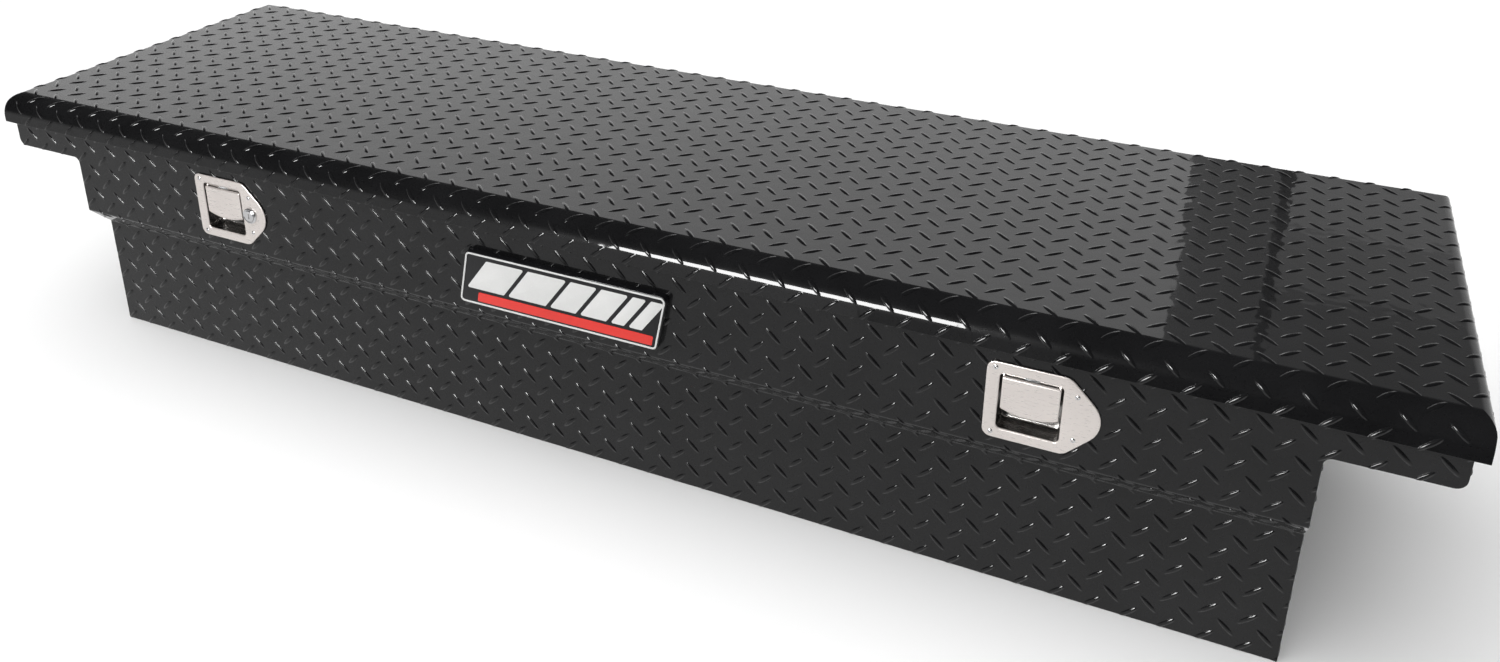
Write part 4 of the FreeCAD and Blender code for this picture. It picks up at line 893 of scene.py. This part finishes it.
def back_piece():
    """The flat back wall; the hinge leaf covers its top."""
    low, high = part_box("back_panel")
    profile = Profile((high.y, high.z), -90, [(high.z - low.z,)])
    leaf_low, leaf_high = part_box("hinge_leaf_tub")
    leaf = rectangle_corners((leaf_low.x, high.z - leaf_high.z), (leaf_high.x, high.z - leaf_low.z), 0)
    tread = Tread(WALL_PITCH, BACK_BAR_PLACE, [rounded_loop(leaf)])
    loops = [wing_outline(high.z, lambda z: high.z - z)]
    tread_sheet("back_tread", "tub", "back_panel", loops, Fold(profile), tread)


def end_piece(side):
    """One end: the wing's upright end, its shelf over the bed rail, and the tub's wall."""
    sign = SIDES[side]
    low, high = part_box("end_panel_" + side)
    wing_x = max(abs(low.x), abs(high.x))
    steps = [
        (high.z - WING_FLOOR_Z - WING_CORNER_RADIUS,),
        (WING_CORNER_RADIUS, -90),
        (wing_x - TUB_HALF_LENGTH - WING_CORNER_RADIUS - NOTCH_RADIUS,),
        (NOTCH_RADIUS, 90),
        (WING_FLOOR_Z - NOTCH_RADIUS,),
    ]
    profile = Profile((wing_x, high.z), -90, steps)
    crease_t = profile.length - CREASE_Z - GAUGE * TAN_HALF_FOLD
    corners = [
        (-high.y, 0, 0),
        (-low.y, 0, 0),
        (-low.y, crease_t, 0),
        (-low.y - WAIST_INSET, crease_t + WAIST_INSET, 0),
        (-low.y - WAIST_INSET, profile.length, 0),
        (-high.y, profile.length, 0),
    ]
    if sign < 0:
        corners = [(-s, t, radius) for s, t, radius in corners[::-1]]
    shelf_t = profile.pieces[2][0] + wing_x - WING_CORNER_RADIUS - BOLT_HOLE_X
    hole_radius = BOLT_HOLE_RADIUS + EDGE_ROUND
    holes = [ring_loop((y, shelf_t), hole_radius, 24) for y in (-BOLT_HOLE_Y, BOLT_HOLE_Y)]
    fold = Fold(profile, (0, -sign, 0), ((sign, 0, 0), (0, 0, 1)))
    tread = Tread(LID_PITCH, (sign * END_BAR_PLACE[0], END_BAR_PLACE[1]))
    loops = [rounded_loop(corners, EDGE_ROUND), *holes]
    tread_sheet("end_tread_" + side, "tub", "end_panel_" + side, loops, fold, tread)


# ---- latch pieces


def cast(loop, centre, angles):
    """Points where rays from a centre meet a loop around it."""
    found = []
    spots = loop - centre
    ends = np.roll(spots, -1, axis=0)
    for angle in angles:
        ray = np.array((math.cos(angle), math.sin(angle)))
        across = spots[:, 0] * ray[1] - spots[:, 1] * ray[0]
        across_end = ends[:, 0] * ray[1] - ends[:, 1] * ray[0]
        share = across / np.where(across == across_end, 1, across - across_end)
        hits = spots + np.clip(share, 0, 1)[:, None] * (ends - spots)
        crossing = (across * across_end <= 0) & (hits @ ray > 0)
        found.append(centre + ray * (hits @ ray)[crossing].max())
    return np.array(found)


def dish_pieces(side):
    """The stamped flange with a rolled edge and a raised bead, and the drawn well inside the bead, whose
    darker steel is painted shade in the recess.
    """
    centre = np.array((LATCH_X * SIDES[side], LATCH_Z))
    low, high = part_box("latch_dish_" + side)
    corner_turns = [
        np.arctan2(*(rounded_loop(corners) - centre).T[::-1])
        for corners in (flange_corners(side), window_corners(side))
    ]
    turns = np.concatenate([*corner_turns, np.arange(96) * 2 * math.pi / 96])
    angles = np.unique(np.round(turns % (2 * math.pi), 3))
    # in millimetres: the edge is (inset, depth), and the rest is (growth of the window, depth, corner radius)
    edge = [(0.5, 1.5), (0.1, 1.35), (0, 1), (0, 0.7), (0.2, 0.25), (0.6, 0.04), (1.1, 0)]
    bead = [(1.6, 0, 6.6), (1.1, 0.05, 6.4), (0.7, 0.2, 6), (0.35, 0.5, 5.6), (0.1, 0.95, 5.3), (0, 1.4, 5)]
    well = [bead[-1], (0, 2.4, 5), (-0.4, 12, 5), (-0.8, 18.5, 5), (-1.5, 20, 5), (-2.8, 21, 4.5)]
    well.append((-5, 21.3, 4))
    under_well = [(-5, 22.5, 4), (-2.4, 22.4, 5), (-0.2, 21.4, 5.5), (0.7, 19, 6), (1.2, 12, 6)]
    under_well.append((1.2, 2.4, 6))
    under_bead = [under_well[-1], (1.6, 1.7, 6.5)]

    def window_steps(section):
        """Steps for Shell.stack round the window, no deeper than the dish's box."""
        return [
            (rounded_loop(window_corners(side, grow * MM, radius * MM)), min(low.y + depth * MM, high.y))
            for grow, depth, radius in section
        ]

    def on_rays(steps):
        """The same steps with all their points on shared rays, so that they can be joined."""
        return [(cast(loop, centre, angles), y) for loop, y in steps]

    flange = Shell()
    steps = outline_steps(flange_corners(side), edge, low.y) + window_steps(bead + under_bead)
    flange.ring(flange.stack(on_rays(steps)))
    flange.piece("latch_stamping_" + side, "tub", "latch_stainless", "latch_dish_" + side)
    drawn = Shell()
    inner = drawn.stack(on_rays(window_steps(well)))
    outer = drawn.stack(on_rays(window_steps(under_well)))
    drawn.solid([*outer, *inner])
    # the well takes the darker steel: painted shade in the recess behind the paddle
    drawn.piece("latch_well_" + side, "tub", "latch_stainless", material=WELL_PAINTED_SHADE)


def paddle_section(x, foot, inset):
    """A paddle's closed section in (y, z) at one x: rolled over at the top, and turned in at the foot."""
    half = PADDLE_GAUGE / 2 - inset
    line = Profile(PADDLE_TOP, 180, [
        (PADDLE_TOP_RUN,),
        (PADDLE_TOP_RADIUS, 90),
        (PADDLE_TOP[1] - PADDLE_TOP_RADIUS - foot - (PADDLE_FOOT_RADIUS + PADDLE_GAUGE / 2),),
        (PADDLE_FOOT_RADIUS, 90),
        (PADDLE_FOOT_RUN - inset,),
    ])
    stops = sorted({*line.bend_places(12), *np.linspace(0, line.length, 14)})
    points, ahead, left = line.place(np.array(stops))
    points[:, 0] += PADDLE_CROWN * (x / PADDLE_CROWN_SPAN) ** 2
    front = points - left * half
    back = points + left * half
    return np.array([*front, points[-1] + ahead[-1] * half, *back[::-1], points[0] - ahead[0] * half])


def paddle_ear(shell, x, inward):
    """One ear: a drilled plate that carries the paddle on its pin."""
    outline = np.array([*arc(PADDLE_AXIS, EAR_RADIUS, np.radians(np.linspace(-25, 175, 17))), *EAR_FOOT])
    bore = ring_loop(PADDLE_AXIS, EAR_BORE_RADIUS, 20)
    middle = outline.mean(axis=0)

    def plate_loop(depth, points):
        return shell.loop([(x + inward * depth * MM, y, z) for y, z in points])

    faces = [
        plate_loop(depth, middle + (outline - middle) * share)
        for depth, share in ((0, 0.96), (0.2, 1), (1.6, 1), (1.8, 0.96))
    ]
    holes = [plate_loop(depth, bore) for depth in (0, 1.8)]
    shell.loft(faces)
    shell.loft(holes)
    shell.fill(faces[0], holes[0])
    shell.fill(faces[-1], holes[-1])


def paddle_piece(side):
    """The paddle: a crowned plate with a rolled top edge and an arched finger lip, hung on two ears."""
    centre = LATCH_X * SIDES[side]
    half = PADDLE_HALF_WIDTH
    shell = Shell()
    edge = [(half, 0.5), (half - 0.12 * MM, 0.2), (half - 0.5 * MM, 0.0)]
    stations = [(-x, inset) for x, inset in edge]
    stations += [(x, 0.0) for x in np.linspace(-half + 2 * MM, half - 2 * MM, 27)]
    hoops = []
    for x, inset in stations + edge[::-1]:
        foot = LATCH_Z - PADDLE_FOOT_DROP + PADDLE_FOOT_ARCH * (x / half) ** 2
        hoops.append(shell.loop([(centre + x, y, z) for y, z in paddle_section(x, foot, inset * MM)]))
    shell.solid(hoops)
    for sign in (-1, 1):
        paddle_ear(shell, centre + sign * (half - 0.1 * MM), -sign)
    shell.piece("paddle_plate_" + side, "paddle_" + side, "latch_stainless", "paddle_" + side)


def rivet_piece(side):
    """The four blind rivets: domed heads with a small hole where the mandrel broke off."""
    low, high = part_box("latch_rivets_" + side)
    section = [(0.6, 1.3), (0.75, 1.2), (0.85, 0.25), (1.0, 0.06), (1.3, 0), (1.8, 0.08), (2.3, 0.3)]
    section += [(2.6, 0.62), (2.6, 0.8), (1.5, 0.85), (1.5, 7.2)]
    head = 2.6 * MM
    shell = Shell()
    for x, rise in ((low.x + head, high.z - head - LATCH_Z), (high.x - head, POINT_RIVET_RISE)):
        for sign in (-1, 1):
            shell.solid(shell.stack(turned_steps((x, LATCH_Z + sign * rise), section, low.y, 28)))
    name = "blind_rivets_" + side
    shell.piece(name, "tub", "latch_stainless", "latch_rivets_" + side, MATERIALS["lock_chrome"])


def lock_piece():
    """The lock's collar: a polished dome with a stepped ring round the plug, on a plain barrel."""
    low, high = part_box("lock_housing")
    centre = ((low.x + high.x) / 2, (low.z + high.z) / 2)
    section = [(7.1, 22), (7.1, 0.9), (7.3, 0.5), (7.9, 0.3), (8.2, 0.5), (8.5, 0.5), (8.8, 0.1), (9.3, 0)]
    section += [(9.8, 0.2), (10.2, 0.7), (10.4, 1.4), (10.4, 2.5), (9.4, 2.55)]
    section += [(9.4, 22.8), (9, 23), (7.1, 23)]
    shell = Shell()
    shell.ring(shell.stack(turned_steps(centre, section, low.y, 56)))
    shell.piece("lock_collar", "tub", "lock_chrome", "lock_housing")


# ---- badge


def badge_pieces():
    """A plain slanted badge: black moulding, pale rim, and a made-up pattern of bars over a red band."""
    low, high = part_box("badge_base")
    front = low.y
    corners = badge_corners()
    section = [(0, (high.y - front) / MM), (0, 1.2), (0.12, 0.5), (0.5, 0.12), (1.0, 0)]
    moulding = Shell()
    moulding.solid(moulding.stack(outline_steps(corners, section, front)))
    moulding.piece("badge_moulding", "tub", "badge_black", "badge_base")
    section = [(1.5, -0.05), (1.5, -0.5), (1.7, -0.8), (2.1, -0.92), (3.0, -0.92), (3.4, -0.8), (3.6, -0.5)]
    section.append((3.6, -0.05))
    rim = Shell()
    rim.ring(rim.stack(outline_steps(corners, section, front)))
    rim.piece("badge_rim", "tub", "badge_bright", "badge_face", BADGE_WHITE)
    bars = Shell()
    left, end = low.x + 13 * MM, high.x - 32 * MM
    foot, head = low.z + 21.5 * MM, high.z - 8.5 * MM
    unit = (end - left - BADGE_BAR_GAP * (len(BADGE_BARS) - 1)) / sum(BADGE_BARS)
    for width in BADGE_BARS:
        badge_bar(bars, left, left + unit * width, foot, head, BADGE_LEAN, front)
        left += unit * width + BADGE_BAR_GAP
    bars.piece("badge_bars", "tub", "badge_bright", material=BADGE_WHITE)
    band = Shell()
    slant = BADGE_SLANT / (high.z - low.z)
    foot, head = low.z + 5.5 * MM, low.z + 17.5 * MM
    shift = (foot - low.z) * slant
    left, right = low.x + 25 * MM + shift, high.x - 21.5 * MM + shift
    badge_bar(band, left, right, foot, head, slant, front)
    band.piece("badge_band", "tub", "badge_bright", material=BADGE_RED)


def badge_bar(shell, left, right, foot, head, slant, front):
    """One raised bar on the badge, from left to right at its foot, which leans to the right."""
    lean = (head - foot) * slant
    spots = ((left, foot), (right, foot), (right + lean, head), (left + lean, head))
    corners = [(*spot, BADGE_BAR_RADIUS) for spot in spots]
    section = [(0, 0.05), (0, -0.2), (0.12, -0.34), (0.35, -0.4)]
    shell.solid(shell.stack(outline_steps(corners, section, front, 4)))


# ---- seal and foam


def seal_piece():
    """The bulb seal on the rim: a flat foot with two lips under a soft tube."""
    low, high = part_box("weather_seal")
    # (inset in millimetres, share of the height): the outer half, and then its mirror image
    section = [(0.3, 0), (0, 0.08), (0.1, 0.17), (0.8, 0.22), (1.4, 0.3), (1.0, 0.42), (0.9, 0.6)]
    section += [(1.4, 0.78), (2.4, 0.92), (3.6, 0.985), (5.0, 1.0)]
    section += [(10 - inset, share) for inset, share in section[-2::-1]]
    corners = rectangle_corners(low, high, SEAL_RADIUS)
    shell = Shell()
    hoops = []
    for inset, share in section:
        z = low.z + share * (high.z - low.z)
        hoops.append(shell.loop([(x, y, z) for x, y in rounded_loop(corners, inset * MM, least=1.5 * MM)]))
    shell.ring(hoops)
    shell.piece("bulb_seal", "tub", "seal_rubber", "weather_seal", sharp=60)


def foam_piece():
    """The lid's foam core: a slab with soft edges, rounded like the skin around it."""
    low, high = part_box("lid_foam")
    skin_low, skin_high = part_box("lid_skin")
    gap = skin_high.z - high.z
    roll, bend = ROLL_RADIUS - gap, BEND_RADIUS - gap
    roll_y, roll_z = skin_low.y + ROLL_RADIUS, skin_high.z - ROLL_RADIUS
    bend_y, bend_z = skin_high.y - BEND_RADIUS, skin_high.z - BEND_RADIUS
    section = [(bend_y + bend, low.z)]
    for turn in np.linspace(math.pi / 2, 0, 8):
        section.append((bend_y + bend * math.sin(turn), bend_z + bend * math.cos(turn)))
    for turn in np.linspace(0, math.acos((low.z - roll_z) / roll), 14):
        section.append((roll_y - roll * math.sin(turn), roll_z + roll * math.cos(turn)))
    shell = Shell()
    loops = []
    turns = np.radians(np.arange(0, 91, 15))
    for column, side_turns in ((1, turns[::-1]), (-1, turns)):
        for turn in side_turns:
            x = column * (skin_high.x - BEND_RADIUS + bend * math.sin(turn))
            limit = high.z - bend * (1 - math.cos(turn))
            loops.append(shell.loop([(x, y, min(z, limit)) for y, z in section]))
    shell.solid(loops)
    piece = shell.piece("foam_core", "lid", "foam", "lid_foam")


# ---- stage, light and camera

WORLD_STOPS = ((0.0, 0.72), (0.42, 0.62), (0.49, 0.34), (0.53, 0.05), (0.8, 0.02), (1.0, 0.02))
# upright cards that the gloss reflects: (name, left, right, foot, head, strength)
BACK_CARD_Y = 3.0
BACK_CARDS = (
    ("card_back_wide", -6.4, 0.5, 0.0, 2.45, 1.0),
    ("card_back_dim", 0.5, 0.795, 0.0, 2.6, 0.24),
    ("card_back_right", 0.832, 4.5, 0.0, 1.66, 0.52),
    ("card_back_middle", 0.832, 4.5, 1.66, 1.9, 0.38),
    ("card_back_high", 0.832, 4.5, 1.9, 2.6, 0.24),
    ("card_back_top", 0.5, 4.5, 2.6, 3.1, 0.13),
)
FRONT_CARD_Y = -3.3
FRONT_CARDS = (
    ("card_front_dusk", -0.5, 0.2, -1.05, 0.45, 0.25),
    ("card_front_dark", 0.2, 3.2, -1.05, 0.45, 0.0),
)


def panel(name, centre, across, upward, size, shade, strength=0.0):
    """A flat matt rectangle spanned by two directions, which glows when it has a strength."""
    material = bpy.data.materials.new(name)
    material.use_nodes = True
    glow = {"Emission_Color": (1, 1, 1, 1), "Emission_Strength": strength}
    shader = material.node_tree.nodes["Principled BSDF"]
    set_inputs(shader, Base_Color=(shade, shade, shade, 1), Roughness=0.9, Specular_IOR_Level=0.0, **glow)
    centre = Vector(centre)
    across = Vector(across).normalized() * size[0] / 2
    upward = Vector(upward).normalized() * size[1] / 2
    mesh = bpy.data.meshes.new(name)
    right, left = centre + across, centre - across
    mesh.from_pydata([left - upward, right - upward, right + upward, left + upward], [], [(0, 1, 2, 3)])
    mesh.materials.append(material)
    thing = bpy.data.objects.new(name, mesh)
    bpy.context.scene.collection.objects.link(thing)
    return thing


def card(name, centre, across, size, strength):
    """A glowing upright card that only reflections see."""
    thing = panel(name, centre, across, (0, 0, 1), size, 0.0, strength)
    thing.visible_camera = False
    thing.visible_diffuse = False
    thing.visible_shadow = False


def set_stage():
    """A pale floor, a soft sky, one broad sun and the cards that the gloss reflects."""
    floor = panel("floor", (0, 0, -0.0005), (1, 0, 0), (0, 1, 0), (60, 60), 0.86)
    floor.visible_glossy = False
    world = bpy.data.worlds.new("studio")
    bpy.context.scene.world = world
    world.use_nodes = True
    tree = world.node_tree
    place = new_node(tree, "TexCoord", "Generated")[1]
    upward = new_node(tree, "SeparateXYZ", "Z", Vector=place)[1]
    share = new_node(tree, "MapRange", "Result", Value=upward, From_Min=-1, From_Max=1)[1]
    ramp, sky = new_node(tree, "ValToRGB", "Color", Fac=share)
    while len(ramp.color_ramp.elements) < len(WORLD_STOPS):
        ramp.color_ramp.elements.new(0.5)
    for element, (position, value) in zip(ramp.color_ramp.elements, WORLD_STOPS):
        element.position = position
        element.color = (value, value, value, 1)
    set_inputs(tree.nodes["Background"], Color=sky)
    sun = bpy.data.objects.new("sun", bpy.data.lights.new("sun", "SUN"))
    sun.data.energy = 4.2
    sun.data.angle = math.radians(100)
    sun.rotation_euler = (math.radians(18), math.radians(-14), 0)
    sun.visible_glossy = False
    bpy.context.scene.collection.objects.link(sun)
    for y, cards in ((BACK_CARD_Y, BACK_CARDS), (FRONT_CARD_Y, FRONT_CARDS)):
        for name, left, right, foot, head, strength in cards:
            middle = ((left + right) / 2, y, (foot + head) / 2)
            card(name, middle, (1, 0, 0), (right - left, head - foot), strength)
    card("card_left", (-6.4, 1.2, 1.25), (0, 1, 0), (3.6, 2.5), 1.0)
    card("card_front_left", (-0.84, -3.24, 0.83), (1, 0.25, 0), (1.56, 0.8), 32)


def set_camera():
    """The camera, at the photograph's place and angle."""
    camera = bpy.data.objects.new("camera", bpy.data.cameras.new("camera"))
    camera.location = (0.6595, -1.2593, 0.9378)
    camera.rotation_euler = [math.radians(angle) for angle in (68.772, -0.526, 23.772)]
    camera.data.sensor_width = 36
    camera.data.lens = 29.62
    camera.data.shift_y = -0.154
    bpy.context.scene.collection.objects.link(camera)
    bpy.context.scene.camera = camera
    bpy.context.scene.view_settings.view_transform = "Standard"


# ---- the scene

dress_cad_nodes()
lid_piece()
front_piece()
back_piece()
seal_piece()
foam_piece()
badge_pieces()
lock_piece()
for side in SIDES:
    end_piece(side)
    dish_pieces(side)
    paddle_piece(side)
    rivet_piece(side)
set_stage()
set_camera()
